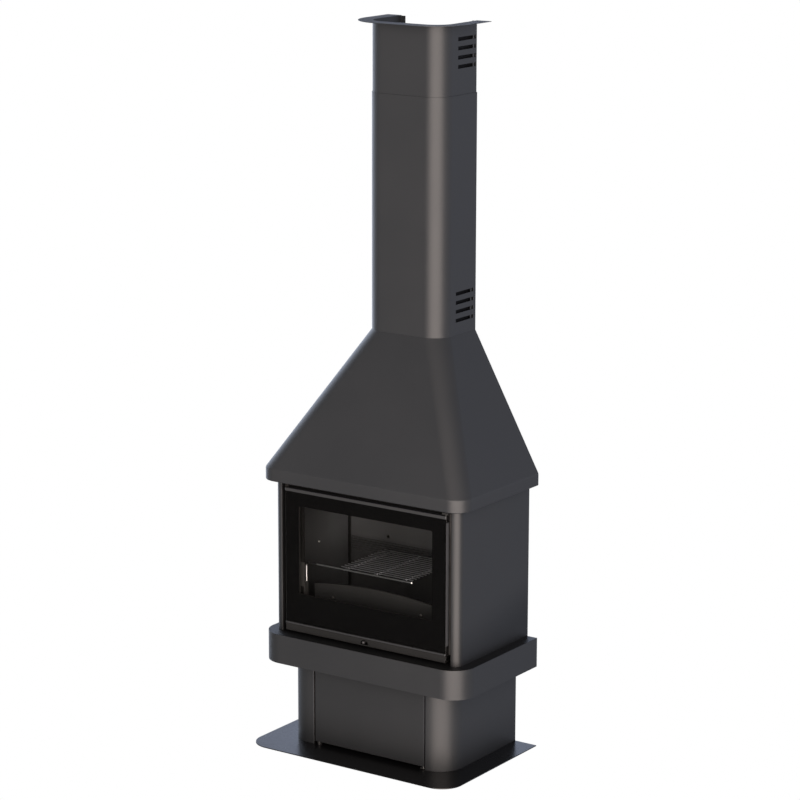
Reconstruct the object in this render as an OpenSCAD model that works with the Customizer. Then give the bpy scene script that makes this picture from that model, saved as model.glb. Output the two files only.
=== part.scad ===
// Freestanding wood fireplace against a wall: a steel floor plate, a wood store with a
// door, a deep hearth shelf, a glazed fire chamber with a grill, a tapered hood and a
// telescopic flue cover that ends in a ceiling flange. Millimetres, +Z up, front at -Y,
// origin at the middle of the underside. Pieces are drawn from the wall, at y = 0, and
// at_wall() moves them into place.

/* [Floor plate] */
// Width of the plate that the fireplace stands on
plate_w = 808; // [806:1:900]
// Depth of the plate from the wall
plate_d = 531; // [470:1:620]
// Radius of its front corners
plate_r = 75; // [20:1:110]
// Thickness of the plate
plate_t = 3; // [2:0.5:6]

/* [Wood store] */
// Width of the store casing
store_w = 642.5; // [630:0.5:700]
// Depth of the store casing from the wall
store_d = 410.5; // [400:0.5:440]
// Radius of its front corners
store_r = 85; // [60:1:85]
// Height of the store casing
store_h = 275.3; // [240:0.1:340]
// Width of the store door
store_door_w = 436.5; // [400:0.5:440]
// How far the middle of the door lies right of the middle of the casing
store_door_shift = 10.3; // [0:0.1:11]
// Gap on each side of the door
store_door_gap = 5; // [4.5:0.1:8]
// Air gap under the door
store_door_lift = 11; // [10:0.5:16]
// Depth of the folded edges of the door
store_door_fold = 18; // [14:0.5:24]

/* [Hearth shelf] */
// Width of the shelf
shelf_w = 804; // [780:1:806]
// Depth of the shelf from the wall
shelf_d = 461; // [450:1:468]
// Radius of its front corners
shelf_r = 80; // [40:1:100]
// Height of the shelf band
shelf_h = 99.3; // [70:0.1:140]
// Thickness of its sheet
shelf_t = 3; // [2:0.5:4]

/* [Firebox casing] */
// Width of the casing round the firebox
fire_w = 730; // [726:0.5:740]
// Depth of the casing from the wall
fire_d = 418; // [414:0.5:424]
// Radius of its front corners
fire_r = 27; // [20:0.5:30]
// Height from the shelf to the hood
fire_h = 521.2; // [500:0.1:560]
// Width of its open front
fire_open_w = 669; // [662:0.5:675]
// Sheet of the casings of the store and the firebox
casing_t = 2.5; // [1.5:0.5:3]
// Width of the folded edges that lie along the wall
lip_w = 18; // [14:0.5:24]

/* [Firebox door] */
// Width of the door
door_w = 636; // [630:0.5:644]
// Height of the door
door_h = 463.5; // [450:0.5:466]
// Depth of its frame
door_d = 20; // [19:0.5:22]
// How far the door stands in front of the casing
door_proud = 7; // [4:0.5:10]
// Height of the door above the shelf
door_lift = 35; // [34.5:0.5:40]
// Width of the clear window
window_w = 530; // [480:1:548]
// Height of the clear window
window_h = 301; // [260:1:320]
// Height of the window above the foot of the door
window_lift = 105.4; // [80:0.1:120]
// Thickness of the glass
glass_t = 4; // [3:0.5:5]

/* [Fire chamber] */
// Clear width between the side linings
chamber_w = 580; // [560:1:590]
// Distance of the back lining's face from the wall
chamber_back = 95; // [90:1:105]
// Thickness of the linings
lining_t = 12; // [8:0.5:14]
// Thickness of the firebox steel
body_t = 4; // [3:0.5:5]
// Width of the mouth in the firebox front
mouth_w = 516; // [500:1:524]
// Height of the mouth
mouth_h = 346; // [320:1:350]
// Height of the grill above the hearth floor
grill_lift = 177; // [150:1:200]
// Width of the cooking grill
grill_w = 286; // [250:1:320]
// Depth of the cooking grill
grill_d = 250; // [200:1:252]
// Number of its cross rods
grill_rods = 14; // [10:1:18]

/* [Hood and flue] */
// How far the hood stands out past each side of the firebox casing
hood_out = 35.5; // [27:0.5:40]
// How far the hood stands out in front of the firebox casing
hood_front_out = 40; // [32:0.5:50]
// Radius of its front corners
hood_r = 60; // [50:1:70]
// Height of the upright band
hood_band_h = 40.6; // [30:0.1:60]
// Height of the tapered part
hood_taper_h = 450.6; // [380:0.1:520]
// Sheet of the hood
hood_t = 1.5; // [1.5:0.5:2]
// Width of the flue cover
cover_w = 300; // [290:1:320]
// Depth of the flue cover from the wall
cover_d = 208.5; // [206:0.5:230]
// Radius of its front corners
cover_r = 65; // [50:1:75]
// Sheet of the flue cover
cover_t = 1.5; // [1:0.5:2]
// Height of the lower flue cover
lower_h = 780; // [700:1:900]
// Height of the upper cover that shows above the lower one
upper_show_h = 230; // [210:1:300]
// Length of the upper cover that is inside the lower one
sleeve_overlap = 400; // [300:1:440]
// How far the ceiling flange stands out round the cover
flange_out = 51; // [30:1:70]
// Radius of its front corners
flange_r = 72; // [60:1:90]
// Radius of the pipe socket on top of the firebox
flue_r = 90.4; // [75:0.1:92]

/* [Hidden] */
$fn = 96;

// Overrun of every cut past the face that it opens
cut = 1;
// Gap between pieces that are fitted together and stay put
fit = 0.3;
// Radial clearance of a pin that turns in its bore
run = 0.05;
// Thickness of the thin slices that a tapered form is stretched between
slab = 0.5;
// Sides of a full turn on tapered forms
taper_sides = 128;
// Sides of a full turn on a very large arc
arc_sides = 720;

// Levels, from the floor up
store_top = plate_t + store_h;
shelf_top = store_top + shelf_h;
hood_z = shelf_top + fire_h;
band_top = hood_z + hood_band_h;
hood_top = band_top + hood_taper_h;
lower_top = hood_top + lower_h;
total_h = lower_top + upper_show_h;

// Size of the hood over all
hood_w = fire_w + 2 * hood_out;
hood_d = fire_d + hood_front_out;

// Store door and its hinge
store_sheet = 2;
store_header_h = 8.3;
store_door_top_gap = 3;
store_door_l = store_door_shift - store_door_w / 2;
store_door_r = store_door_shift + store_door_w / 2;
store_door_z = plate_t + store_door_lift;
store_door_top = store_top - store_header_h - store_door_top_gap;
store_pin_r = 2;
store_pin_inset = 4.5;
store_pin_depth = 5;
store_pin_x = store_door_r - store_pin_inset;
store_pin_y = store_pin_depth - store_d;
store_boss_r = 3.5;
store_boss_h = 14;
store_tongue_t = 3;
store_tongue_drop = 6;
store_tongue_z = store_door_z - store_tongue_drop - store_tongue_t;
store_leg_t = 2;
store_leg_h = 32;
store_tongue_w = 20;
store_tongue_d = 16;
glide_w = 10;
glide_d = 12;
glide_inset = 8;
glide_r = 3;
magnet_w = 46;
magnet_d = 14;
magnet_h = 14;
magnet_inset = 30;

// Legs under the shelf and bearers inside it
leg_w = 30;
leg_t = 2;
bearer_w = 40;
bearer_t = 3;
bearer_inset = 70;

// Firebox front, from the wall
door_y = -(fire_d + door_proud);
door_back_y = door_y + door_d;
door_z = shelf_top + door_lift;
door_top = door_z + door_h;
gasket_space = 3;
front_y = door_back_y + gasket_space;
front_back_y = front_y + body_t;
casing_rise = 13;
casing_return = 20;

// Lower rail with its arched finger notch
rail_lift = 10.4;
rail_h = 23;
rail_t = 3;
rail_w = 634;
rail_setback = 2;
rail_z = shelf_top + rail_lift;
rail_top = rail_z + rail_h;
rail_y = door_y + rail_setback;
arch_r = 15.5;
arch_sill = 4;

// Firebox body
body_w = chamber_w + 2 * (lining_t + body_t);
body_back_y = -(chamber_back - lining_t - body_t);
front_gap = 2;
body_front_w = fire_open_w - 2 * front_gap;
body_front_top = hood_z - front_gap;
floor_lift = 66.4;
floor_z = shelf_top + floor_lift;
chamber_h = 406;
roof_z = floor_z + chamber_h;
mouth_lift = 36;
mouth_z = floor_z + mouth_lift;
well_w = 312;
well_d = 202;
well_mid_y = -225;
well_t = 3;
well_lift = 4.4;
well_z = shelf_top + well_lift;
roof_hole_w = 380;
roof_hole_d = 200;
roof_hole_mid_y = -190;

// Linings, baffle and hearth
corner_gap = 10;
lining_top_gap = 4;
rib_count = 6;
rib_pitch = 8;
rib_cut = 3;
rib_lift = 156;
rib_margin = 10;
screw_lift = 217;
screw_y = -273;
screw_x = 132;
screw_head_r = 7;
screw_head_h = 3;
screw_shank_r = 4;
baffle_t = 6;
baffle_run = 134;
baffle_slope = 12.7;
baffle_rise = 292;
baffle_tab_w = 34;
baffle_tab_h = 13;
ledge_w = 15;
ledge_t = 4;
tile_t = 12;
grate_w = 330;
grate_d = 220;
grate_slots = 11;
grate_slot_w = 11;
grate_rim = 20;
grate_gap = 0.6;
pan_t = 1.5;
pan_h = 44;
pan_gap = 8;

// Log retainer
retainer_w = 502;
retainer_t = 5;
retainer_side_h = 85;
retainer_rise = 19;
retainer_y = -352;
bolt_x = 175;
bolt_lift = 49;
bolt_head_r = 6;
bolt_head_h = 4;
bolt_r = 4;
foot_w = 30;
foot_t = 3;
foot_h = 68;
foot_d = 11;

// Cooking grill on its arm
arm_r = 3;
arm_drop = 0.6;
arm_x = -260;
arm_y = -385;
arm_bend_r = 12;
arm_reach = 421;
arm_leg_low = 117;
ball_r = 4.5;
rod_r = 2;
bearer_rod_r = 2.5;
bearer_rod_x = 115;
lug_w = 3;
grill_x = 5;
rod_sink = 0.3;
grill_z = floor_z + grill_lift;
grill_front_y = -358;
rod_z = grill_z - rod_r;
bearer_rod_z = rod_z - rod_r - bearer_rod_r + rod_sink;
arm_z = grill_z - arm_drop;
socket_r = 6;
socket_h = 52;
socket_floor = 6;
socket_plate_w = 21;
socket_plate_t = 2;
socket_plate_top = 2;
socket_plate_h = 82;
socket_web_t = 3;

// Air control
knob_r = 5.5;
knob_l = 13;
knob_neck_r = 3.6;
air_rod_r = 3;
air_lift = 23;
air_z = shelf_top + air_lift;
air_disc_r = 18;
air_disc_t = 3;
air_hole_r = 14;
air_guide_w = 34;
air_guide_t = 4;
air_guide_y = -382;
air_guide_top = 14;

// Firebox door details
frame_t = 3;
frame_face_t = 4;
bar_top_w = 10;
bar_low_w = 5;
frame_round = 2;
inner_t = 8;
gasket_w = 14;
gasket_margin = 23;
hinge_r = 3.5;
hinge_inset = 7;
hinge_x = door_w / 2 - hinge_inset;
hinge_back = 7.5;
hinge_y = door_back_y - hinge_back;
hinge_block_x = door_w / 2 - 2 * hinge_inset;
glass_y = door_y + fit;
inner_y = glass_y + glass_t + fit;
inner_back_y = inner_y + inner_t;
hinge_notch_low = 30;
hinge_notch_top = 24;
hinge_block_h = 28;
hinge_depth = 24;
hinge_end_gap = 1;
hinge_lug_w = 22;
hinge_lug_t = 6;
hinge_lug_gap = 3;
catch_lift = 228;
catch_x = 303;
catch_w = 8;
catch_h = 20;
catch_leaf_t = 1.5;
catch_depth = 6;

// Smoke dome and hood details
dome_h = 96;
dome_t = 3;
dome_base_w = 400;
dome_base_d = 218;
dome_wall = 2;
collar_h = 80;
collar_t = 2;
collar_flange_t = 3;
flue_y = -cover_d / 2;
hem_w = 12;
hood_bracket_w = 40;
hood_bracket_t = 2.5;
hood_bracket_y = [-90, -330];
joiner_up = 30;
joiner_down = 12;

// Telescopic cover, its vents and its wall screws
sleeve_gap = 0.3;
upper_w = cover_w - 2 * (cover_t + sleeve_gap);
upper_d = cover_d - 2 * (cover_t + sleeve_gap);
upper_r = cover_r - cover_t - sleeve_gap;
upper_z = lower_top - sleeve_overlap;
upper_l = total_h - cover_t - upper_z;
vent_rows = 4;
vent_pitch = 29.4;
vent_h = 8;
vent_long = 87;
vent_short = 12;
vent_web = 5;
vent_rear_low = 15;
vent_rear_top = 8;
vent_low_lift = 48;
vent_top_drop = 51;
vent_stack = (vent_rows - 1) * vent_pitch;
low_vent_z = hood_top + vent_low_lift;
top_vent_z = total_h - vent_top_drop - vent_stack;
shield_gap = 13;
shield_d = 122;
shield_flange = 14;
shield_margin = 14;
wall_hole_r = 3;
wall_hole_low = 170;
wall_hole_pitch = 90;

// Moves a piece drawn from the wall into the part's own frame
module at_wall() {
    translate([0, plate_d / 2, 0]) children();
}

// A piece and its mirror image on the left
module both_sides() {
    children();
    mirror([1, 0, 0]) children();
}

// Outline with a straight back on the wall and two rounded front corners
module front_outline(w, d, r, back = 0) {
    translate([-w / 2, r - d]) square([w, d - r + back]);
    translate([r - w / 2, -d]) square([w - 2 * r, d + back]);
    translate([r - w / 2, r - d]) circle(r);
    translate([w / 2 - r, r - d]) circle(r);
}

// Sheet bent into a U with rounded corners and two folded edges along the wall
module u_shell(w, d, r, t, h) {
    linear_extrude(h) difference() {
        front_outline(w, d, r);
        translate([0, -t]) front_outline(w - 2 * t, d - 2 * t, r - t);
        translate([lip_w - w / 2, -t - cut]) square([w - 2 * lip_w, t + 2 * cut]);
    }
}

// Flat slot with round ends, centred, running along x
module slot_outline(l, h) {
    square([l - h, h], center = true);
    translate([(l - h) / 2, 0]) circle(h / 2);
    translate([(h - l) / 2, 0]) circle(h / 2);
}

// Screw with a low domed head, its head above z = 0 and its shank below
module dome_screw(head_r, head_h, shank_r, shank_l) {
    dome_r = (head_r * head_r + head_h * head_h) / (2 * head_h);
    intersection() {
        translate([0, 0, head_h - dome_r]) sphere(dome_r);
        cylinder(h = head_h + cut, r = head_r);
    }
    translate([0, 0, -shank_l]) cylinder(h = shank_l, r = shank_r);
}

// Floor plate and wood store

module floor_plate() {
    color("#55585f") at_wall() linear_extrude(plate_t) front_outline(plate_w, plate_d, plate_r);
}

module store_casing() {
    open_l = store_door_l - store_door_gap;
    open_w = store_door_w + 2 * store_door_gap;
    color("#3e3e40") at_wall() {
        difference() {
            translate([0, 0, plate_t])
                u_shell(store_w, store_d, store_r, casing_t, store_h);
            translate([open_l, -store_d - cut, plate_t - cut])
                cube([open_w, casing_t + 2 * cut, store_h - store_header_h + cut]);
        }
        for (x = [open_l - casing_t, open_l + open_w])
            translate([x, -store_d, plate_t])
                cube([casing_t, store_door_fold, store_h - store_header_h]);
    }
}

module store_back() {
    w = store_w - 2 * (casing_t + fit);
    color("#343436") at_wall()
        translate([-w / 2, -casing_t - store_sheet, plate_t])
            cube([w, store_sheet, store_h]);
}

module support_legs() {
    x = store_w / 2 - casing_t - fit - leg_w;
    front = store_r - store_d;
    rear = -casing_t - store_sheet - fit - leg_w;
    color("#343436") at_wall() both_sides() for (y = [front, rear])
        translate([x, y, plate_t]) difference() {
            cube([leg_w, leg_w, store_h]);
            translate([leg_t, leg_t, -cut])
                cube([leg_w - 2 * leg_t, leg_w - 2 * leg_t, store_h + 2 * cut]);
        }
}

module store_door() {
    h = store_door_top - store_door_z;
    color("#3e3e40") at_wall() difference() {
        union() {
            translate([store_door_l, -store_d, store_door_z]) difference() {
                cube([store_door_w, store_door_fold, h]);
                translate([store_sheet, store_sheet, store_sheet])
                    cube([store_door_w - 2 * store_sheet, store_door_fold,
                          h - 2 * store_sheet]);
            }
            for (z = [store_door_z, store_door_top - store_boss_h])
                translate([store_pin_x, store_pin_y, z])
                    cylinder(h = store_boss_h, r = store_boss_r);
        }
        for (z = [store_door_z - cut, store_door_top - store_boss_h - cut])
            translate([store_pin_x, store_pin_y, z])
                cylinder(h = store_boss_h + 2 * cut, r = store_pin_r + run);
    }
}

module store_door_glide() {
    color("#8b8b8e") at_wall()
        translate([store_door_l + glide_inset, glide_r - store_d, plate_t + fit])
            linear_extrude(store_door_lift - fit) {
                translate([0, 0]) square([glide_w, glide_d - glide_r]);
                translate([glide_r, -glide_r]) square([glide_w - 2 * glide_r, glide_r]);
                translate([glide_r, 0]) circle(glide_r);
                translate([glide_w - glide_r, 0]) circle(glide_r);
            }
}

module store_hinge_pins() {
    tongue_top = store_tongue_z + store_tongue_t;
    color("#8b8b8e") at_wall() {
        translate([store_pin_x, store_pin_y, tongue_top])
            cylinder(h = store_door_z + store_boss_h - tongue_top, r = store_pin_r);
        translate([store_pin_x, store_pin_y, store_door_top - store_boss_h])
            cylinder(h = store_top - store_door_top + store_boss_h, r = store_pin_r);
    }
}

module store_hinge_bracket() {
    edge = store_door_r + store_door_gap;
    y = store_sheet - store_d;
    color("#4a4a4d") at_wall() {
        translate([edge - store_leg_t, y, store_tongue_z])
            cube([store_leg_t, store_tongue_d, store_leg_h]);
        translate([edge - store_tongue_w, y, store_tongue_z])
            cube([store_tongue_w, store_tongue_d, store_tongue_t]);
    }
}

module store_magnet() {
    color("#2a2a2b") at_wall()
        translate([store_door_l + magnet_inset, store_door_fold + fit - store_d,
                   store_top - magnet_h])
            cube([magnet_w, magnet_d, magnet_h]);
}

// Hearth shelf

module hearth_shelf() {
    color("#404042") at_wall() {
        translate([0, 0, store_top]) u_shell(shelf_w, shelf_d, shelf_r, shelf_t, shelf_h);
        translate([0, 0, shelf_top - shelf_t])
            linear_extrude(shelf_t) front_outline(shelf_w, shelf_d, shelf_r);
    }
}

module shelf_deck() {
    inset = shelf_t + fit;
    color("#343436") at_wall() translate([0, -inset, store_top])
        linear_extrude(shelf_t)
            front_outline(shelf_w - 2 * inset, shelf_d - 2 * inset, shelf_r - inset);
}

module shelf_bearers() {
    l = store_d - 2 * bearer_inset;
    h = shelf_h - 2 * shelf_t;
    color("#343436") at_wall() both_sides()
        translate([store_w / 2 - bearer_w, -store_d + bearer_inset, store_top + shelf_t])
            difference() {
                cube([bearer_w, l, h]);
                translate([bearer_t, -cut, bearer_t])
                    cube([bearer_w, l + 2 * cut, h - 2 * bearer_t]);
            }
}

// Casing round the firebox

module firebox_casing() {
    color("#3e3e40") at_wall() {
        difference() {
            translate([0, 0, shelf_top])
                u_shell(fire_w, fire_d, fire_r, casing_t, fire_h + casing_rise);
            translate([-fire_open_w / 2, -fire_d - cut, shelf_top - cut])
                cube([fire_open_w, fire_r + cut, fire_h + cut]);
        }
        both_sides() translate([fire_open_w / 2, casing_t - fire_d, shelf_top])
            cube([casing_t, casing_return, fire_h]);
    }
}

module casing_back() {
    w = fire_w - 2 * (casing_t + fit);
    color("#343436") at_wall()
        translate([-w / 2, -casing_t - store_sheet, shelf_top])
            cube([w, store_sheet, fire_h]);
}

// Firebox

module firebox_body() {
    box_d = body_back_y - front_back_y;
    inner_w = body_w - 2 * body_t;
    color("#242323") at_wall() {
        difference() {
            translate([-body_w / 2, front_back_y, shelf_top])
                cube([body_w, box_d, roof_z + body_t - shelf_top]);
            translate([-inner_w / 2, front_back_y - cut, floor_z])
                cube([inner_w, box_d - body_t + cut, roof_z - floor_z]);
            translate([-inner_w / 2, front_back_y - cut, shelf_top - cut])
                cube([inner_w, box_d - body_t + cut, floor_z - body_t - shelf_top + cut]);
            translate([-well_w / 2, well_mid_y - well_d / 2, floor_z - body_t - cut])
                cube([well_w, well_d, body_t + 2 * cut]);
            translate([-roof_hole_w / 2, roof_hole_mid_y - roof_hole_d / 2, roof_z - cut])
                cube([roof_hole_w, roof_hole_d, body_t + 2 * cut]);
        }
        difference() {
            translate([-body_front_w / 2, front_y, rail_top])
                cube([body_front_w, body_t, body_front_top - rail_top]);
            translate([-mouth_w / 2, front_y - cut, mouth_z])
                cube([mouth_w, body_t + 2 * cut, mouth_h]);
        }
    }
}

module lower_rail() {
    l = front_back_y - rail_y;
    color("#333335") at_wall() difference() {
        translate([-rail_w / 2, rail_y, rail_z]) difference() {
            cube([rail_w, l, rail_h]);
            translate([-cut, rail_t, rail_t])
                cube([rail_w + 2 * cut, l, rail_h - 2 * rail_t]);
        }
        translate([0, rail_y + rail_t + cut, rail_z + arch_sill]) rotate([90, 0, 0])
            linear_extrude(rail_t + 2 * cut) difference() {
                circle(arch_r);
                translate([-arch_r - cut, -arch_r - cut])
                    square([2 * (arch_r + cut), arch_r + cut]);
            }
        translate([hinge_x, hinge_y, rail_z - cut])
            cylinder(h = rail_h + 2 * cut, r = hinge_r);
    }
}

module upper_hinge_bracket() {
    z = door_top + hinge_lug_gap;
    y = hinge_y - hinge_r - hinge_lug_gap;
    color("#333335") at_wall() difference() {
        translate([hinge_x - hinge_lug_w / 2, y, z])
            cube([hinge_lug_w, front_y - y, hinge_lug_t]);
        translate([hinge_x, hinge_y, z - cut])
            cylinder(h = hinge_lug_t + 2 * cut, r = hinge_r);
    }
}

// Linings, baffle and hearth

module side_panel() {
    y = front_back_y + fit;
    difference() {
        translate([chamber_w / 2, y, floor_z])
            cube([lining_t, -chamber_back - corner_gap - y,
                  roof_z - floor_z - lining_top_gap]);
        translate([chamber_w / 2 - cut, screw_y, floor_z + screw_lift]) rotate([0, 90, 0])
            cylinder(h = lining_t + 2 * cut, r = screw_shank_r + fit);
    }
}

module side_lining_left() {
    color("#2f2d2d") at_wall() mirror([1, 0, 0]) side_panel();
}

module side_lining_right() {
    color("#2f2d2d") at_wall() side_panel();
}

module back_lining() {
    w = chamber_w + 2 * (lining_t - fit);
    color("#2f2d2d") at_wall() difference() {
        translate([-w / 2, -chamber_back, floor_z])
            cube([w, lining_t - fit, roof_z - floor_z - lining_top_gap]);
        for (i = [0 : rib_count - 1])
            translate([rib_margin - chamber_w / 2, -chamber_back - cut,
                       floor_z + rib_lift + i * rib_pitch])
                cube([chamber_w - 2 * rib_margin, rib_cut + cut, rib_cut]);
        both_sides() translate([screw_x, cut, floor_z + screw_lift]) rotate([90, 0, 0])
            cylinder(h = chamber_back + 2 * cut, r = screw_shank_r + fit);
    }
}

module lining_screws() {
    l = lining_t - fit;
    color("#8b8b8e") at_wall() {
        both_sides() translate([chamber_w / 2, screw_y, floor_z + screw_lift])
            rotate([0, -90, 0]) dome_screw(screw_head_r, screw_head_h, screw_shank_r, l);
        both_sides() translate([screw_x, -chamber_back, floor_z + screw_lift])
            rotate([90, 0, 0]) dome_screw(screw_head_r, screw_head_h, screw_shank_r, l);
    }
}

// Frame of the sloping baffle: its rear edge at the back lining, rising to the front
module at_baffle() {
    rear = -chamber_back - fit - baffle_t * sin(baffle_slope);
    at_wall() translate([0, rear, floor_z + baffle_rise])
        rotate([-baffle_slope, 0, 0]) children();
}

module baffle_plate() {
    w = chamber_w - 2 * cut;
    color("#2a2828") at_baffle() {
        translate([-w / 2, -baffle_run, 0]) cube([w, baffle_run, baffle_t]);
        translate([-baffle_tab_w / 2, -baffle_run, -baffle_tab_h])
            cube([baffle_tab_w, baffle_t, baffle_tab_h + baffle_t]);
    }
}

module baffle_ledges() {
    color("#2a2828") at_baffle() both_sides()
        translate([chamber_w / 2 - ledge_w - fit, -baffle_run, -ledge_t])
            cube([ledge_w, baffle_run - ledge_t, ledge_t]);
}

module hearth_tiles() {
    side_w = (chamber_w - grate_w) / 2 - fit;
    front_tile_y = front_back_y + fit;
    grate_front = well_mid_y - grate_d / 2;
    grate_rear = well_mid_y + grate_d / 2;
    rear_d = -chamber_back - fit - grate_rear - fit;
    mid_w = grate_w - 2 * fit;
    color("#3a3836") at_wall() {
        both_sides() translate([chamber_w / 2 - side_w, front_tile_y, floor_z])
            cube([side_w - fit, -chamber_back - fit - front_tile_y, tile_t]);
        translate([-mid_w / 2, front_tile_y, floor_z])
            cube([mid_w, grate_front - fit - front_tile_y, tile_t]);
        translate([-mid_w / 2, grate_rear + fit, floor_z])
            cube([mid_w, rear_d, tile_t]);
    }
}

module ember_grate() {
    w = grate_w - 2 * grate_gap;
    d = grate_d - 2 * grate_gap;
    pitch = (w - 2 * grate_rim) / grate_slots;
    color("#262525") at_wall() translate([0, well_mid_y, floor_z]) linear_extrude(tile_t)
        difference() {
            square([w, d], center = true);
            for (i = [0 : grate_slots - 1])
                translate([(i - (grate_slots - 1) / 2) * pitch, 0]) rotate(90)
                    slot_outline(d - 2 * grate_rim, grate_slot_w);
        }
}

module ash_well() {
    w = well_w + 2 * well_t;
    d = well_d + 2 * well_t;
    h = floor_z - body_t - well_z;
    color("#242323") at_wall() translate([0, well_mid_y, well_z]) difference() {
        translate([-w / 2, -d / 2, 0]) cube([w, d, h]);
        translate([-well_w / 2, -well_d / 2, well_t]) cube([well_w, well_d, h]);
        translate([0, cut - well_d / 2, air_z - well_z]) rotate([90, 0, 0])
            cylinder(h = well_t + 2 * cut, r = air_hole_r);
    }
}

module ash_pan() {
    w = well_w - 2 * pan_gap;
    d = well_d - 2 * pan_gap;
    color("#4b4b4d") at_wall() translate([0, well_mid_y, well_z + well_t]) difference() {
        translate([-w / 2, -d / 2, 0]) cube([w, d, pan_h]);
        translate([pan_t - w / 2, pan_t - d / 2, pan_t])
            cube([w - 2 * pan_t, d - 2 * pan_t, pan_h]);
    }
}

// Log retainer

module log_retainer() {
    half = retainer_w / 2;
    arc_r = (half * half + retainer_rise * retainer_rise) / (2 * retainer_rise);
    h = retainer_side_h + retainer_rise;
    color("#3d3c3c") at_wall() translate([0, retainer_y + retainer_t, floor_z + tile_t])
        rotate([90, 0, 0]) difference() {
            linear_extrude(retainer_t) intersection() {
                translate([-half, 0]) square([retainer_w, h + cut]);
                translate([0, h - arc_r]) circle(arc_r, $fn = arc_sides);
            }
            for (x = [-bolt_x, bolt_x])
                translate([x, bolt_lift, -cut])
                    cylinder(h = retainer_t + 2 * cut, r = bolt_r + fit);
        }
}

module retainer_feet() {
    color("#333232") at_wall()
        translate([0, retainer_y + retainer_t, floor_z + tile_t]) for (x = [-bolt_x, bolt_x])
            translate([x - foot_w / 2, 0, 0]) difference() {
                union() {
                    cube([foot_w, foot_t, foot_h]);
                    cube([foot_w, foot_d, foot_t]);
                }
                translate([foot_w / 2, -cut, bolt_lift]) rotate([-90, 0, 0])
                    cylinder(h = foot_t + 2 * cut, r = bolt_r + fit);
            }
}

module retainer_bolts() {
    color("#8b8b8e") at_wall()
        translate([0, retainer_y, floor_z + tile_t + bolt_lift]) for (x = [-bolt_x, bolt_x])
            translate([x, 0, 0]) rotate([90, 0, 0])
                dome_screw(bolt_head_r, bolt_head_h, bolt_r, retainer_t + foot_t);
}

// Cooking grill on its swivel arm

module grill_socket() {
    low = grill_z - arm_leg_low;
    web_x = arm_x + socket_r - socket_web_t;
    plate_z = grill_z + socket_plate_top - socket_plate_h;
    plate_y = front_y - socket_plate_t;
    color("#5a5a5c") at_wall() {
        difference() {
            union() {
                translate([arm_x, arm_y, low - socket_floor])
                    cylinder(h = socket_h + socket_floor, r = socket_r);
                translate([-mouth_w / 2 + fit, plate_y, low])
                    cube([socket_web_t, arm_y - plate_y, socket_h]);
            }
            translate([arm_x, arm_y, low])
                cylinder(h = socket_h + cut, r = arm_r + run);
        }
        translate([-mouth_w / 2 - socket_plate_w, plate_y, plate_z])
            cube([socket_plate_w + fit + socket_web_t, socket_plate_t, socket_plate_h]);
        translate([-mouth_w / 2 + fit, plate_y, low])
            cube([socket_web_t, body_t, plate_z + socket_plate_h - low]);
    }
}

module grill_arm() {
    low = grill_z - arm_leg_low;
    color("#c9c9cb") at_wall() {
        translate([arm_x, arm_y, low]) cylinder(h = arm_z - arm_bend_r - low, r = arm_r);
        translate([arm_x + arm_bend_r, arm_y, arm_z - arm_bend_r]) rotate([90, 0, 0])
            rotate([0, 0, 90]) rotate_extrude(angle = 90)
                translate([arm_bend_r, 0]) circle(arm_r);
        translate([arm_x + arm_bend_r, arm_y, arm_z]) rotate([0, 90, 0])
            cylinder(h = arm_reach - arm_bend_r, r = arm_r);
        translate([arm_x + arm_reach, arm_y, arm_z]) sphere(ball_r);
    }
}

module grill_grate() {
    pitch = (grill_d - 2 * rod_r) / (grill_rods - 1);
    front = grill_front_y + rod_r;
    lug_y = arm_y + arm_r;
    color("#77787a") at_wall() translate([grill_x, 0, 0]) {
        for (i = [0 : grill_rods - 1])
            translate([-grill_w / 2, front + i * pitch, rod_z]) rotate([0, 90, 0])
                cylinder(h = grill_w, r = rod_r);
        for (x = [-bearer_rod_x, 0, bearer_rod_x]) {
            translate([x, grill_front_y, bearer_rod_z]) rotate([-90, 0, 0])
                cylinder(h = grill_d, r = bearer_rod_r);
            translate([x - lug_w / 2, lug_y, bearer_rod_z])
                cube([lug_w, front - lug_y, grill_z - bearer_rod_z]);
        }
    }
}

// Air control under the door

module air_knob() {
    color("#77787a") at_wall() translate([0, rail_y + rail_t, air_z]) rotate([90, 0, 0])
        difference() {
            union() {
                cylinder(h = knob_l - knob_r, r = knob_neck_r);
                translate([0, 0, knob_l - knob_r]) sphere(knob_r);
            }
            translate([0, 0, -cut]) cylinder(h = knob_l - knob_r + cut, r = air_rod_r);
        }
}

module air_valve() {
    well_front = well_mid_y - well_d / 2 - well_t;
    rod_end = rail_y + rail_t - knob_l + knob_r;
    color("#5a5a5c") at_wall() translate([0, well_front - fit, air_z]) rotate([90, 0, 0]) {
        cylinder(h = air_disc_t, r = air_disc_r);
        cylinder(h = well_front - fit - rod_end, r = air_rod_r);
    }
}

module air_guide() {
    h = air_z + air_guide_top - shelf_top;
    color("#333335") at_wall() translate([0, air_guide_y, shelf_top]) difference() {
        translate([-air_guide_w / 2, 0, 0]) cube([air_guide_w, air_guide_t, h]);
        translate([0, -cut, air_z - shelf_top]) rotate([-90, 0, 0])
            cylinder(h = air_guide_t + 2 * cut, r = air_rod_r + run);
    }
}

// Firebox door

// Block of the hinge side that holds one bore
module hinge_block(z) {
    translate([hinge_block_x, inner_y, z])
        cube([door_w / 2 - hinge_block_x, door_back_y - inner_y, hinge_block_h]);
}

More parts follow.
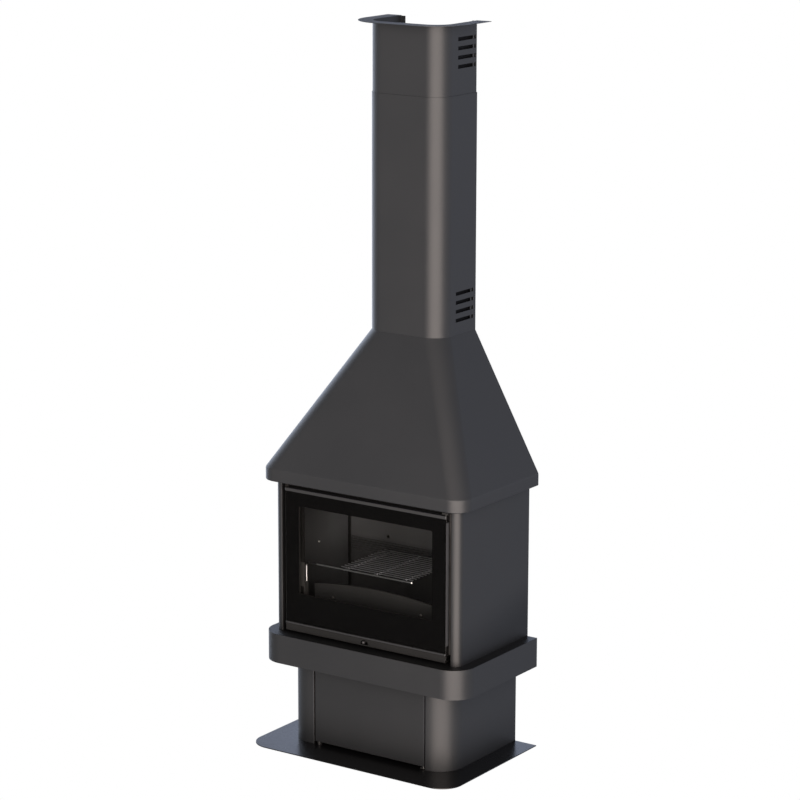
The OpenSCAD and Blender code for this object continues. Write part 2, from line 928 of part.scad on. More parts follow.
module door_frame() {
    half = door_w / 2;
    low_block_z = door_z + hinge_notch_low;
    top_block_z = door_top - hinge_notch_top - hinge_block_h;
    notch_w = half - hinge_block_x + cut;
    notch_d = door_back_y - inner_y + cut;
    color("#49494b") at_wall() difference() {
        union() {
            difference() {
                translate([0, door_back_y, door_z]) linear_extrude(door_h)
                    front_outline(door_w, door_d, frame_round);
                translate([frame_t - half, door_y + frame_face_t, door_z + frame_t])
                    cube([door_w - 2 * frame_t, door_d, door_h - 2 * frame_t]);
                translate([-half - cut, door_y - cut, door_z + bar_low_w])
                    cube([door_w + 2 * cut, inner_y - door_y + cut,
                          door_h - bar_low_w - bar_top_w]);
            }
            hinge_block(low_block_z);
            hinge_block(top_block_z);
        }
        translate([hinge_block_x, inner_y, door_z - cut])
            cube([notch_w, notch_d, hinge_notch_low + cut]);
        translate([hinge_block_x, inner_y, door_top - hinge_notch_top])
            cube([notch_w, notch_d, hinge_notch_top + cut]);
        translate([hinge_x, hinge_y, low_block_z - cut])
            cylinder(h = hinge_depth + cut, r = hinge_r + run);
        translate([hinge_x, hinge_y, top_block_z + hinge_block_h - hinge_depth])
            cylinder(h = hinge_depth + cut, r = hinge_r + run);
    }
}

module door_glass() {
    w = door_w - 2 * fit;
    low = door_z + bar_low_w + fit;
    color([0.12, 0.12, 0.12, 0.45]) at_wall() translate([-w / 2, glass_y, low])
        cube([w, glass_t, door_top - bar_top_w - fit - low]);
}

module door_inner_frame() {
    l = frame_t + fit - door_w / 2;
    low = door_z + frame_t + fit;
    color("#1b1b1c") at_wall() difference() {
        translate([l, inner_y, low])
            cube([hinge_block_x - fit - l, inner_t, door_h - 2 * (frame_t + fit)]);
        translate([-window_w / 2, inner_y - cut, door_z + window_lift])
            cube([window_w, inner_t + 2 * cut, window_h]);
    }
}

module door_gasket() {
    w = mouth_w + 2 * gasket_margin;
    h = mouth_h + gasket_margin;
    z = mouth_z - gasket_margin / 2;
    color("#4c4b48") at_wall() difference() {
        translate([-w / 2 - gasket_w, inner_back_y, z - gasket_w])
            cube([w + 2 * gasket_w, front_y - fit - inner_back_y, h + 2 * gasket_w]);
        translate([-w / 2, inner_back_y - cut, z])
            cube([w, front_y - inner_back_y + cut, h]);
    }
}

module door_hinge_pins() {
    low_top = door_z + hinge_notch_low + hinge_depth - hinge_end_gap;
    high_low = door_top - hinge_notch_top - hinge_depth + hinge_end_gap;
    lug_top = door_top + hinge_lug_gap + hinge_lug_t;
    color("#8b8b8e") at_wall() {
        translate([hinge_x, hinge_y, rail_z]) cylinder(h = low_top - rail_z, r = hinge_r);
        translate([hinge_x, hinge_y, high_low]) cylinder(h = lug_top - high_low, r = hinge_r);
    }
}

module door_catch() {
    z = door_z + catch_lift;
    h = catch_h + 2 * (fit + catch_leaf_t);
    y = front_y - catch_leaf_t;
    color("#8b8b8e") at_wall() {
        translate([-catch_x - catch_w / 2, y, z - h / 2]) cube([catch_w, catch_leaf_t, h]);
        for (s = [-1, 1])
            translate([-catch_x - catch_w / 2, y - catch_depth,
                       z + s * (h - catch_leaf_t) / 2 - catch_leaf_t / 2])
                cube([catch_w, catch_depth + catch_leaf_t, catch_leaf_t]);
    }
}

module catch_tongue() {
    z = door_z + catch_lift;
    color("#5a5a5c") at_wall()
        translate([-catch_x - catch_w / 2, inner_back_y, z - catch_h / 2])
            cube([catch_w, front_y - catch_leaf_t - fit - inner_back_y, catch_h]);
}

// Smoke dome, hood and covers

// Sloping box between the roof of the firebox and the pipe socket
module dome_solid(inset, over) {
    base_w = dome_base_w - 2 * inset;
    base_d = dome_base_d - 2 * inset;
    top_w = 2 * (flue_r + collar_t + dome_wall - inset);
    hull() {
        translate([-base_w / 2, roof_hole_mid_y - base_d / 2, -over])
            cube([base_w, base_d, slab + over]);
        translate([-top_w / 2, flue_y - top_w / 2, dome_h - slab])
            cube([top_w, top_w, slab + over]);
    }
}

module smoke_dome() {
    color("#242323") at_wall() translate([0, 0, roof_z + body_t]) difference() {
        dome_solid(0, 0);
        dome_solid(dome_t, cut);
    }
}

module flue_collar() {
    w = 2 * (flue_r + collar_t + dome_wall);
    color("#2a2828") at_wall() translate([0, flue_y, roof_z + body_t + dome_h]) difference() {
        union() {
            translate([-w / 2, -w / 2, 0]) cube([w, w, collar_flange_t]);
            cylinder(h = collar_h, r = flue_r + collar_t);
        }
        translate([0, 0, -cut]) cylinder(h = collar_h + 2 * cut, r = flue_r);
    }
}

module hood_solid(inset, back, over) {
    translate([0, 0, hood_z - over]) linear_extrude(hood_band_h + over)
        front_outline(hood_w - 2 * inset, hood_d - inset, hood_r - inset, back);
    hull($fn = taper_sides) {
        translate([0, 0, band_top - slab]) linear_extrude(slab)
            front_outline(hood_w - 2 * inset, hood_d - inset, hood_r - inset, back);
        translate([0, 0, hood_top - slab]) linear_extrude(slab + over)
            front_outline(cover_w - 2 * inset, cover_d - inset, cover_r - inset, back);
    }
}

module hood() {
    color("#3e3e40") at_wall() {
        difference() {
            hood_solid(0, 0, 0);
            hood_solid(hood_t, cut, cut);
        }
        both_sides() rotate([90, 0, 0]) linear_extrude(hood_t) polygon([
            [hood_w / 2 - lip_w, hood_z], [hood_w / 2, hood_z], [hood_w / 2, band_top],
            [cover_w / 2, hood_top], [cover_w / 2 - lip_w, hood_top],
            [hood_w / 2 - lip_w, band_top]
        ]);
        translate([0, 0, hood_z]) linear_extrude(hood_t) difference() {
            front_outline(hood_w, hood_d, hood_r);
            front_outline(hood_w - 2 * hem_w, hood_d - hem_w, hood_r - hem_w, cut);
        }
    }
}

module hood_brackets() {
    top = hood_z + casing_rise;
    reach = hood_out - hood_t;
    leg_h = casing_rise - hood_t - fit;
    color("#343436") at_wall() both_sides() for (y = hood_bracket_y)
        translate([fire_w / 2, y, top - leg_h]) {
            cube([hood_bracket_t, hood_bracket_w, leg_h]);
            translate([0, 0, leg_h - hood_bracket_t])
                cube([reach, hood_bracket_w, hood_bracket_t]);
        }
}

// Rows of vents through both side walls, each a long one and a short one behind it
module vent_cuts(first_z, rear) {
    short_mid = -rear - vent_short / 2;
    long_mid = -rear - vent_short - vent_web - vent_long / 2;
    for (i = [0 : vent_rows - 1])
        translate([-cover_w, 0, first_z + i * vent_pitch]) rotate([90, 0, 90])
            linear_extrude(2 * cover_w) {
                translate([short_mid, 0]) square([vent_short, vent_h], center = true);
                translate([long_mid, 0]) square([vent_long, vent_h], center = true);
            }
}

// Two folded sheets that stand behind the vents and turn the warm air forward
module vent_shields(w, back, first_z) {
    wall_x = w / 2 - cover_t - fit;
    plate_x = wall_x - shield_gap;
    h = vent_stack + vent_h + 2 * shield_margin;
    translate([0, back, first_z - vent_h / 2 - shield_margin]) linear_extrude(h)
        both_sides() {
            translate([plate_x - cover_t, -shield_d])
                square([cover_t, shield_d - cover_t - fit]);
            translate([plate_x - cover_t, -shield_d])
                square([wall_x - plate_x + cover_t, cover_t]);
            translate([wall_x - cover_t, -shield_d - shield_flange])
                square([cover_t, shield_flange + cover_t]);
        }
}

module lower_cover() {
    hole_z = hood_top + wall_hole_low;
    color("#3e3e40") at_wall() difference() {
        translate([0, 0, hood_top]) u_shell(cover_w, cover_d, cover_r, cover_t, lower_h);
        vent_cuts(low_vent_z, vent_rear_low);
        both_sides() for (z = [hole_z, hole_z + wall_hole_pitch])
            translate([(cover_w - lip_w) / 2, cut, z]) rotate([90, 0, 0])
                cylinder(h = cover_t + 2 * cut, r = wall_hole_r);
    }
}

module cover_joiner() {
    inset = cover_t + fit;
    color("#343436") at_wall() translate([0, -inset, hood_top - joiner_down])
        u_shell(cover_w - 2 * inset, cover_d - 2 * inset, cover_r - inset, cover_t,
                joiner_down + joiner_up);
}

module upper_cover() {
    color("#404043") at_wall() difference() {
        translate([0, -cover_t - sleeve_gap, upper_z])
            u_shell(upper_w, upper_d, upper_r, cover_t, upper_l);
        vent_cuts(top_vent_z, vent_rear_top);
    }
}

module vent_shields_low() {
    color("#343436") at_wall() vent_shields(cover_w, 0, low_vent_z);
}

module vent_shields_top() {
    color("#343436") at_wall() vent_shields(upper_w, -cover_t - sleeve_gap, top_vent_z);
}

module ceiling_flange() {
    inset = cover_t + sleeve_gap;
    color("#4a4a4e") at_wall() translate([0, 0, total_h - cover_t])
        linear_extrude(cover_t) difference() {
            front_outline(cover_w + 2 * flange_out, cover_d + flange_out, flange_r);
            translate([0, -inset])
                front_outline(upper_w - 2 * cover_t, upper_d - cover_t,
                              upper_r - cover_t, inset + cut);
        }
}

floor_plate();
store_casing();
store_back();
support_legs();
store_door();
store_door_glide();
store_hinge_pins();
store_hinge_bracket();
store_magnet();
hearth_shelf();
shelf_deck();
shelf_bearers();
firebox_casing();
casing_back();
firebox_body();
lower_rail();
upper_hinge_bracket();
side_lining_left();
side_lining_right();
back_lining();
lining_screws();
baffle_plate();
baffle_ledges();
hearth_tiles();
ember_grate();
ash_well();
ash_pan();
log_retainer();
retainer_feet();
retainer_bolts();
grill_socket();
grill_arm();
grill_grate();
air_knob();
air_valve();
air_guide();
door_frame();
door_inner_frame();
door_glass();
door_gasket();
door_hinge_pins();
door_catch();
catch_tongue();
smoke_dome();
flue_collar();
hood();
hood_brackets();
lower_cover();
cover_joiner();
upper_cover();
ceiling_flange();
vent_shields_low();
vent_shields_top();
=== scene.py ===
# %% [markdown]
# # A freestanding wood fireplace, dressed in Blender
# The steel parts of this fireplace come from a CAD model that is loaded as a fixed frame. Blender adds
# what a CAD model can't hold: the satin of powder-coated sheet, cast iron with its sand texture, soot,
# brushed rods, a rope seal, glass with a printed border, and the light of a photo studio. Everything is
# in metres, with +Z up, the front towards -Y and the wall at the rear.

import math

import bpy
import numpy as np
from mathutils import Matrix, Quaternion, Vector


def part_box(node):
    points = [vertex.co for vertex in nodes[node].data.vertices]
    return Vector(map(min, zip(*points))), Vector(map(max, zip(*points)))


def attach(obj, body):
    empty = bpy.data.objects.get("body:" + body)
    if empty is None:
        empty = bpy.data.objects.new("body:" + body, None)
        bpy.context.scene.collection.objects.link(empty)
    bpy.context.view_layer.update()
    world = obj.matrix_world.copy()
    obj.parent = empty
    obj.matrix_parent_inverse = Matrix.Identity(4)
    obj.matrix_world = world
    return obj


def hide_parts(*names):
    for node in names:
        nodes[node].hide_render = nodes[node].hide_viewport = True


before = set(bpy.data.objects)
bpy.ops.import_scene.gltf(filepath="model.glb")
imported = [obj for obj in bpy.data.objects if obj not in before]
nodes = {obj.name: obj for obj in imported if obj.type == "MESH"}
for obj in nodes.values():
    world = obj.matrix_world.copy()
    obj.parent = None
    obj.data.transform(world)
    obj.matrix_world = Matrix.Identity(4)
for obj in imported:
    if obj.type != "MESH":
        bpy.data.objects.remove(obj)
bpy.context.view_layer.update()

# %% [markdown]
# ## The camera
# The photograph was taken from the right of the fireplace and a little above its top. A long lens keeps
# the tall cover from leaning. The position was found by fitting the corners of the plate, shelf, hood
# and flange to the picture, so it is a plain fixed camera that looks at one point.


# %% Camera
def link_object(name, data):
    obj = bpy.data.objects.new(name, data)
    bpy.context.scene.collection.objects.link(obj)
    return obj


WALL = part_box("floor_plate")[1].y  # places in front of the wall are counted from here
LEAN = 0.0020  # radians, because the camera leaned a little
camera_data = bpy.data.cameras.new("camera")
camera_data.lens = 131.8
camera_data.sensor_width = 36.0
camera_data.clip_end = 100.0
camera = link_object("camera", camera_data)
camera.location = (5.2690, -7.8955 + WALL, 3.3376)
aim = Vector((0.0216, -0.2504 + WALL, 1.1829))
level_view = (aim - camera.location).to_track_quat("-Z", "Y")
camera.rotation_euler = (level_view @ Quaternion((0, 0, 1), LEAN)).to_euler()
bpy.context.scene.camera = camera
print("camera to aim:", round((aim - camera.location).length, 3), "m")

# %% [markdown]
# ## The studio
# Dark satin steel shows mostly what it reflects. In the photograph the flat faces are an even dark grey,
# the glass is nearly black, and each rounded corner on the right carries a broad, slightly warm band of
# light. Small lamps would give spots, and an even room would give no band. So one huge soft lamp stands a
# little to the right of the camera, two weak cool ones behind and to the left. The room is palest at the
# horizon, darker above and below, and cooler towards the rear. The camera itself sees the room and the
# floor as white, as in a cut-out product picture.


# %% Lamps
def soft_lamp(name, azimuth, distance, height, size, power, colour):
    """A rectangular lamp, turned level towards the fireplace. Azimuth 0 is straight in front."""
    data = bpy.data.lights.new(name, "AREA")
    data.shape = "RECTANGLE"
    data.size, data.size_y = size
    data.energy = power
    data.color = colour
    lamp = link_object(name, data)
    a = math.radians(azimuth)
    lamp.location = (distance * math.sin(a), -distance * math.cos(a), height)
    lamp.rotation_euler = (math.pi / 2, 0, a)
    print(name + ":", azimuth, "degrees,", power, "W")


bpy.context.scene.view_settings.view_transform = "Standard"
soft_lamp("key_lamp", 36, 7.0, 1.4, (10.4, 11.4), 1680, (1.10, 0.962, 0.885))
soft_lamp("rear_lamp", 208, 6.5, 2.0, (3.4, 2.6), 24, (0.74, 0.86, 1.15))
soft_lamp("left_lamp", 250, 7.0, 2.2, (6.0, 7.6), 300, (0.82, 0.92, 1.12))


# %% Node helpers
def feed(node, sockets):
    """Gives input sockets, by name or number, a value or a link. A node stands for its first output."""
    for key, value in sockets.items():
        if isinstance(value, bpy.types.Node):
            value = value.outputs[0]
        if isinstance(value, bpy.types.NodeSocket):
            node.id_data.links.new(value, node.inputs[key])
        else:
            node.inputs[key].default_value = value


def add(tree, kind, sockets=None, **settings):
    """A new node of one kind, with its settings and its fed sockets."""
    node = tree.nodes.new(kind)
    for key, value in settings.items():
        setattr(node, key, value)
    feed(node, sockets or {})
    return node


def mixed(factor, a, b, data_type="RGBA", clamp=True):
    """The result of a Mix node in the tree of its factor."""
    return add(factor.id_data, "ShaderNodeMix", {"Factor": factor, "A": a, "B": b},
               data_type=data_type, clamp_factor=clamp).outputs["Result"]


# %% World
ROOM = ((0.0, 0.10), (0.30, 0.16), (0.42, 0.40), (0.52, 0.46), (0.6, 0.40), (0.78, 0.18), (1.0, 0.15))
FRONT_TINT, REAR_TINT = (0.85, 0.84, 0.83, 1), (1.12, 1.21, 1.49, 1)
WHITE = (1, 1, 1, 1)
world = bpy.data.worlds.new("studio")
bpy.context.scene.world = world
world.use_nodes = True
room = world.node_tree
room.nodes.clear()
direction = add(room, "ShaderNodeSeparateXYZ", {0: add(room, "ShaderNodeTexCoord").outputs["Generated"]})
height = add(room, "ShaderNodeMapRange", {"Value": direction.outputs["Z"], "From Min": -1.0})
brightness = add(room, "ShaderNodeValToRGB", {"Fac": height})
brightness.color_ramp.interpolation = "B_SPLINE"
stops = brightness.color_ramp.elements
for place, level in ROOM:  # from straight down to straight up; the ramp has its two ends already
    stop = stops.new(place) if 0 < place < 1 else stops[-int(place)]
    stop.color = (level, level, level, 1)
rearward = add(room, "ShaderNodeMapRange", {
    "Value": direction.outputs["Y"], "From Min": -0.3, "From Max": 0.8}, interpolation_type="SMOOTHSTEP")
tint = mixed(rearward, FRONT_TINT, REAR_TINT)
lighting = add(room, "ShaderNodeBackground", {"Color": tint, "Strength": brightness})
backdrop = add(room, "ShaderNodeBackground", {"Color": WHITE})
by_ray = add(room, "ShaderNodeMixShader", {
    "Fac": add(room, "ShaderNodeLightPath").outputs["Is Camera Ray"],
    1: lighting, 2: backdrop})
add(room, "ShaderNodeOutputWorld", {"Surface": by_ray})
print("room:", len(stops), "levels of light")

# %% Floor
# The floor is pale. It shows to the camera only, so the huge lamp also reaches the lowest corners.
far = 30.0
floor_mesh = bpy.data.meshes.new("studio_floor")
floor_mesh.from_pydata([(-far, -far, 0), (far, -far, 0), (far, far, 0), (-far, far, 0)], [], [(0, 1, 2, 3)])
floor = link_object("studio_floor", floor_mesh)
floor.location.z = -0.0006  # a hair below the plate, so the two faces don't share one plane
floor.visible_shadow = floor.visible_glossy = floor.visible_diffuse = False
floor_mat = bpy.data.materials.new("studio_floor")
floor_mat.use_nodes = True
floor_tree = floor_mat.node_tree
floor_tree.nodes.clear()
glow = add(floor_tree, "ShaderNodeEmission", {"Color": WHITE})
add(floor_tree, "ShaderNodeOutputMaterial", {"Surface": glow})
floor_mesh.materials.append(floor_mat)
print("floor:", 2 * far, "m wide")

# %% [markdown]
# ## Shared effects for the finishes
# Real finishes are never one flat colour. Each of these effects comes back in several materials, so each
# is a shader node group with named inputs: a fine grain with its own colour, roughness and height, for
# powder coat and cast iron; brush lines for rods and screws; soot that lies in patches; and painted light
# and shade that depend on the place, for steel drawn darker or paler in one part where shade or light
# falls on it. They could be copied into each material, but a group is built once, and each material gives it
# other values.


# %% Helpers for groups
def socket_kind(value):
    """The kind of socket that holds a value. A text is the kind itself, of a socket without a default."""
    if isinstance(value, str):
        return "NodeSocket" + value
    if isinstance(value, tuple):
        return "NodeSocketColor" if len(value) == 4 else "NodeSocketVector"
    return "NodeSocketInt" if isinstance(value, int) else "NodeSocketFloat"


def new_tree(kind, name, inputs, outputs):
    """An empty tree, its input sockets and its output node. inputs, outputs: default or kind, by name."""
    tree = bpy.data.node_groups.new(name, kind)
    for in_out, sockets in (("INPUT", inputs), ("OUTPUT", outputs)):
        for label, value in sockets.items():
            socket = tree.interface.new_socket(label, in_out=in_out, socket_type=socket_kind(value))
            if not isinstance(value, str):
                socket.default_value = value
    return tree, tree.nodes.new("NodeGroupInput").outputs, tree.nodes.new("NodeGroupOutput")


def calc(operation, *values):
    """A Math node on nodes, sockets and numbers, in the tree that the first of them belongs to."""
    tree = next(value.id_data for value in values if not isinstance(value, (int, float)))
    return add(tree, "ShaderNodeMath", dict(enumerate(values)), operation=operation)


def plus(a, b):
    return calc("ADD", a, b)


def minus(a, b):
    return calc("SUBTRACT", a, b)


def times(a, b):
    return calc("MULTIPLY", a, b)


def noise(vector, scale, detail, rough):
    return add(vector.id_data, "ShaderNodeTexNoise", {
        "Vector": vector, "Scale": scale, "Detail": detail, "Roughness": rough})


# %% Grain of powder coat and cast iron
GREY = (0.05, 0.05, 0.05, 1)
grain, g, grain_out = new_tree(
    "ShaderNodeTree", "surface_grain",
    {"Vector": "Vector", "Colour": GREY, "Second Colour": GREY, "Grain Scale": 700.0, "Cloud Scale": 3.0,
     "Roughness": 0.45, "Roughness Spread": 0.2},
    {"Colour": "Color", "Roughness": "Float", "Height": "Float"})
fine = noise(g["Vector"], g["Grain Scale"], 2.0, 0.5)
cloud = noise(g["Vector"], g["Cloud Scale"], 4.0, 0.6)
blend = plus(times(cloud, 0.75), times(fine, 0.25))
rough_change = times(minus(blend, 0.5), g["Roughness Spread"])
feed(grain_out, {
    "Colour": mixed(blend, g["Colour"], g["Second Colour"]),
    "Roughness": plus(g["Roughness"], rough_change), "Height": fine})

# %% Brush lines on drawn and ground steel
brush, b, brush_out = new_tree(
    "ShaderNodeTree", "brush_lines",
    {"Vector": "Vector", "Stretch": (4.0, 900.0, 900.0), "Colour": GREY,
     "Dark Colour": GREY, "Roughness": 0.3, "Roughness Spread": 0.25},
    {"Colour": "Color", "Roughness": "Float", "Height": "Float"})
stretched = add(brush, "ShaderNodeVectorMath", {0: b["Vector"], 1: b["Stretch"]}, operation="MULTIPLY")
lines = noise(stretched, 1.0, 4.0, 0.7)
rough_change = times(minus(lines, 0.5), b["Roughness Spread"])
feed(brush_out, {
    "Colour": mixed(lines, b["Dark Colour"], b["Colour"]),
    "Roughness": plus(b["Roughness"], rough_change), "Height": lines})

# %% Soot in patches
soot, s, soot_out = new_tree(
    "ShaderNodeTree", "soot_veil",
    {"Vector": "Vector", "Colour": GREY, "Soot Colour": (0.008, 0.008, 0.008, 1), "Amount": 0.5,
     "Patch Scale": 9.0},
    {"Colour": "Color"})
patches = noise(s["Vector"], s["Patch Scale"], 5.0, 0.65)
thick = add(soot, "ShaderNodeMapRange", {"Value": patches, "From Min": 0.35, "From Max": 0.7})
mask = times(thick, s["Amount"])
feed(soot_out, {"Colour": mixed(mask, s["Colour"], s["Soot Colour"])})

# %% Painted light and shade that depend on the place
tone, p, painted_light_out = new_tree(
    "ShaderNodeTree", "painted_light_and_shade",
    {"Vector": "Vector", "Colour": GREY, "Axis": (1, 0, 0), "Centre": 0.0, "Start": 0.0, "End": 1.0,
     "Low Tone": 1.0, "High Tone": 1.0},
    {"Colour": "Color"})
along = add(tone, "ShaderNodeVectorMath", {0: p["Vector"], 1: p["Axis"]}, operation="DOT_PRODUCT")
distance = calc("ABSOLUTE", minus(along.outputs["Value"], p["Centre"]))
strength = add(tone, "ShaderNodeMapRange", {
    "Value": distance, "From Min": p["Start"], "From Max": p["End"], "To Min": p["Low Tone"],
    "To Max": p["High Tone"]}, interpolation_type="SMOOTHSTEP")
feed(painted_light_out, {"Colour": mixed(strength, (0, 0, 0, 1), p["Colour"], clamp=False)})
print("shader groups:", [group.name for group in bpy.data.node_groups])

# %% [markdown]
# ## Powder coat
# The outside is sheet steel with a satin anthracite powder coat. Powder coat isn't smooth: it has a very
# fine orange peel, which a bump node makes from the grain's height, and its colour drifts slightly. The
# folds could be rounded in the mesh, but the CAD meshes stay as they are. So a Bevel node rounds only
# the normal there, and each bend catches a thin line of light as bent sheet does. All parts share one coat,
# but each gets its own copy: darker copies on the casings, the shelf and the store door are painted shade,
# a paler one on the door frame is painted light, and a near-black one in the rail's recess is painted shade.


# %% Material helpers
def surfaced(name, effect, look, bump, relief, edge=0.0):
    """A material whose colour, roughness and relief come from one effect. edge: radius of the folds."""
    material = bpy.data.materials.new(name)
    material.use_nodes = True
    tree = material.node_tree
    where = add(tree, "ShaderNodeTexCoord")
    made = add(tree, "ShaderNodeGroup", {"Vector": where.outputs["Object"], **look}, node_tree=effect).outputs
    bumpy = add(tree, "ShaderNodeBump", {"Strength": bump, "Distance": relief, "Height": made["Height"]})
    if edge:
        rounded = add(tree, "ShaderNodeBevel", {"Radius": edge}, samples=4)
        feed(bumpy, {"Normal": rounded})
    feed(tree.nodes["Principled BSDF"], {
        "Base Color": made["Colour"], "Roughness": made["Roughness"], "Normal": bumpy})
    return material


def layered(material, effect, values):
    """Passes a material's colour through one more effect."""
    tree = material.node_tree
    shader = tree.nodes["Principled BSDF"]
    layer = add(tree, "ShaderNodeGroup", {
        "Vector": tree.nodes["Texture Coordinate"].outputs["Object"],
        "Colour": shader.inputs["Base Color"].links[0].from_socket, **values}, node_tree=effect)
    feed(shader, {"Base Color": layer})


def finish(name, colour, second, roughness, grain_scale=700.0, bump=0.1, relief=0.0004, edge=0.0009,
           cloud_scale=3.0, soot_amount=0.0, soot_scale=9.0, shine=0.5):
    """Powder coat, enamel, cast iron or fibre: two tones that drift, a grain, and rounded folds."""
    material = surfaced(name, grain, {
        "Colour": (*colour, 1), "Second Colour": (*second, 1), "Grain Scale": grain_scale,
        "Cloud Scale": cloud_scale, "Roughness": roughness}, bump, relief, edge)
    feed(material.node_tree.nodes["Principled BSDF"], {"Specular IOR Level": shine})
    if soot_amount:
        layered(material, soot, {"Amount": soot_amount, "Patch Scale": soot_scale})
    return material


# %% Painted steel outside
SATIN = 0.47  # roughness of the powder coat
FOLD = 0.0032  # radius at the folds of the two casings
satin = finish("satin_powder_coat", (0.0152, 0.0170, 0.0197), (0.0186, 0.0206, 0.0236), SATIN)
# Darker copies of the same coat: painted shade on the store door, the store casing, the shelf and the firebox
# casing.
satin_base = finish("satin_base_coat", (0.0115, 0.0130, 0.0149), (0.0145, 0.0161, 0.0185), SATIN)
satin_store = finish("satin_store_coat", (0.0138, 0.0155, 0.0177), (0.0168, 0.0187, 0.0212), SATIN, edge=FOLD)
satin_shelf = finish("satin_shelf_coat", (0.0138, 0.0155, 0.0178), (0.0166, 0.0185, 0.0211), SATIN)
satin_casing = finish("satin_casing_coat", (0.0141, 0.0157, 0.0177), (0.0175, 0.0193, 0.0216), SATIN,
                      edge=FOLD)
# A paler copy of the coat: painted light on the door frame.
satin_door_lit = finish("satin_door_lit_coat", (0.0205, 0.0219, 0.0240), (0.0242, 0.0257, 0.0281), SATIN)
satin_plate = finish("satin_floor_plate", (0.0020, 0.0020, 0.0023), (0.003, 0.003, 0.0034), 0.28)
# A near-black copy of the coat: painted shade in the recess of the lower rail.
rail_shade_paint = finish("rail_shade_paint", (0.0030, 0.0030, 0.0031), (0.0045, 0.0045, 0.0046), 0.5)

# %% Painted steel inside
inner = finish("inner_sheet", (0.016, 0.016, 0.016), (0.022, 0.022, 0.022), 0.6)
dark_steel = finish("black_steel", (0.014, 0.014, 0.014), (0.02, 0.02, 0.02), 0.45, edge=0.0006)
body_paint = finish("heat_paint", (0.0012, 0.0011, 0.0011), (0.0019, 0.0018, 0.0017), 0.7,
                    grain_scale=420.0, bump=0.25, soot_amount=0.5, shine=0.14)
# Painted shade: the vent shields are near black and bluish, so the vents read as shaded slots.
shield_shade_paint = finish("vent_shield_shade_paint", (0.0022, 0.0025, 0.0034), (0.0034, 0.0038, 0.0050), 0.6, shine=0.2)
magnet_black = finish("magnet_case", (0.02, 0.02, 0.02), (0.03, 0.03, 0.03), 0.4)
door_black = finish("door_inner_black", (0.006, 0.006, 0.006), (0.009, 0.009, 0.009), 0.65)
print("painted finishes:", len(bpy.data.materials) - 1)

# %% [markdown]
# ## Painted light and shade
# Some light and shade is painted into the colours here. The folds that turn inwards beside the two doors get
# painted shade, as if they lay in the dark gap, and one fold on the left of each door gets a painted line of
# light. The foot of the store, the casing just above the shelf and the shelf's top get painted shade. The
# lamps give part of this, and the rest could be painted by hand on each mesh. Here each tone is a soft step
# along an axis, at a place that is worked out from the parts themselves.


# %% Helpers for painted light and shade
X, Y, Z = (1, 0, 0), (0, 1, 0), (0, 0, 1)
BEYOND = -1.0  # every point of the fireplace lies above this on each axis


def painted_light_step(material, axis, start, end, low, high, mirrored=False):
    """Paints light or shade: scales a colour along an axis, low up to start, high from end. Mirrored: also on
    the other side.
    """
    centre = 0.0 if mirrored else BEYOND
    layered(material, tone, {"Axis": axis, "Centre": centre, "Start": start - centre, "End": end - centre,
                             "Low Tone": low, "High Tone": high})


def painted_light_band(material, axis, start, end, gain, soft=0.0006):
    """Paints a band of light or shade: scales a colour by gain between two places along an axis."""
    painted_light_step(material, axis, start, start + soft, 1.0, gain)
    painted_light_step(material, axis, end - soft, end, 1.0, 1.0 / gain)


# %% Painted shade and light beside the firebox door
DOOR_GAP = 0.0168  # from the door's side to the end of the casing's fold
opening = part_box("door_frame")[1].x + DOOR_GAP
shelf_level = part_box("hearth_shelf")[1].z
upward = (0, -0.2, 1)  # up and a little forward
# Painted shade: the casing's folds beside the door are darkened, as if in the gap.
painted_light_step(satin_casing, X, opening + 0.0012, opening + 0.0016, 0.15, 1.0, mirrored=True)
# Painted highlight: a line of light on the casing's left fold.
painted_light_band(satin_casing, X, -opening - 0.0052, -opening - 0.0014, 2.0)
# Painted shade: the casing darkens towards the shelf.
painted_light_step(satin_casing, upward, shelf_level, shelf_level + 0.19, 0.3, 1.0)
# Painted shade: the shelf's top is darkened.
painted_light_step(satin_shelf, Z, shelf_level - 0.0012, shelf_level - 0.0004, 1.0, 0.14)
# Painted light: the sides of the door frame are made paler.
painted_light_step(satin_door_lit, X, opening - 0.018, opening - 0.0175, 1.0, 2.2, mirrored=True)
# Painted light: the body's edge in the gap beside the door is made paler.
painted_light_step(body_paint, X, opening - 0.0168, opening - 0.0160, 1.0, 8.0, mirrored=True)
print("door opening:", round(2 * opening, 4), "m wide")

# %% Painted shade and light on the wood store
STORE_GAP = 0.0051  # from the store door's side to the fold beside it
FOOT_LOW, FOOT_HIGH, FOOT_SHADE_TONE = 0.004, 0.17, 0.5
store_door_low, store_door_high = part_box("store_door")
store_fold = STORE_GAP - store_door_low.x
# Painted shade: the store casing's folds beside the door are darkened, as if in the gap.
painted_light_step(satin_store, X, store_fold + 0.0010, store_fold + 0.0013, 0.1, 1.0, mirrored=True)
# Painted highlight: a line of light on the store casing's left fold.
painted_light_band(satin_store, X, -store_fold - 0.0046, -store_fold - 0.0011, 2.0)
# Painted light: the store door's right edge is made paler.
painted_light_step(satin_base, X, store_door_high.x - 0.0042, store_door_high.x - 0.0036, 1.0, 1.35)
# Painted shade: the foot of the store is darker towards the floor.
for paint in (satin_store, satin_base):
    painted_light_step(paint, Z, FOOT_LOW, FOOT_HIGH, FOOT_SHADE_TONE, 1.0)
print("store opening:", round(2 * store_fold, 4), "m wide")

# %% [markdown]
# ## Linings and cast iron
# The fire chamber is lined with dull plates, and the retainer, the tiles and the grate are rough
# castings. Painted sheet would look too even there. So they use the same grain, coarser and with more
# relief, under a veil of soot. Painted shade darkens the back lining in its corners and painted light makes
# it paler at the top. The side linings get painted light at the rear and higher up, where the light from the
# front falls on them, and painted shade towards the front and lower down.


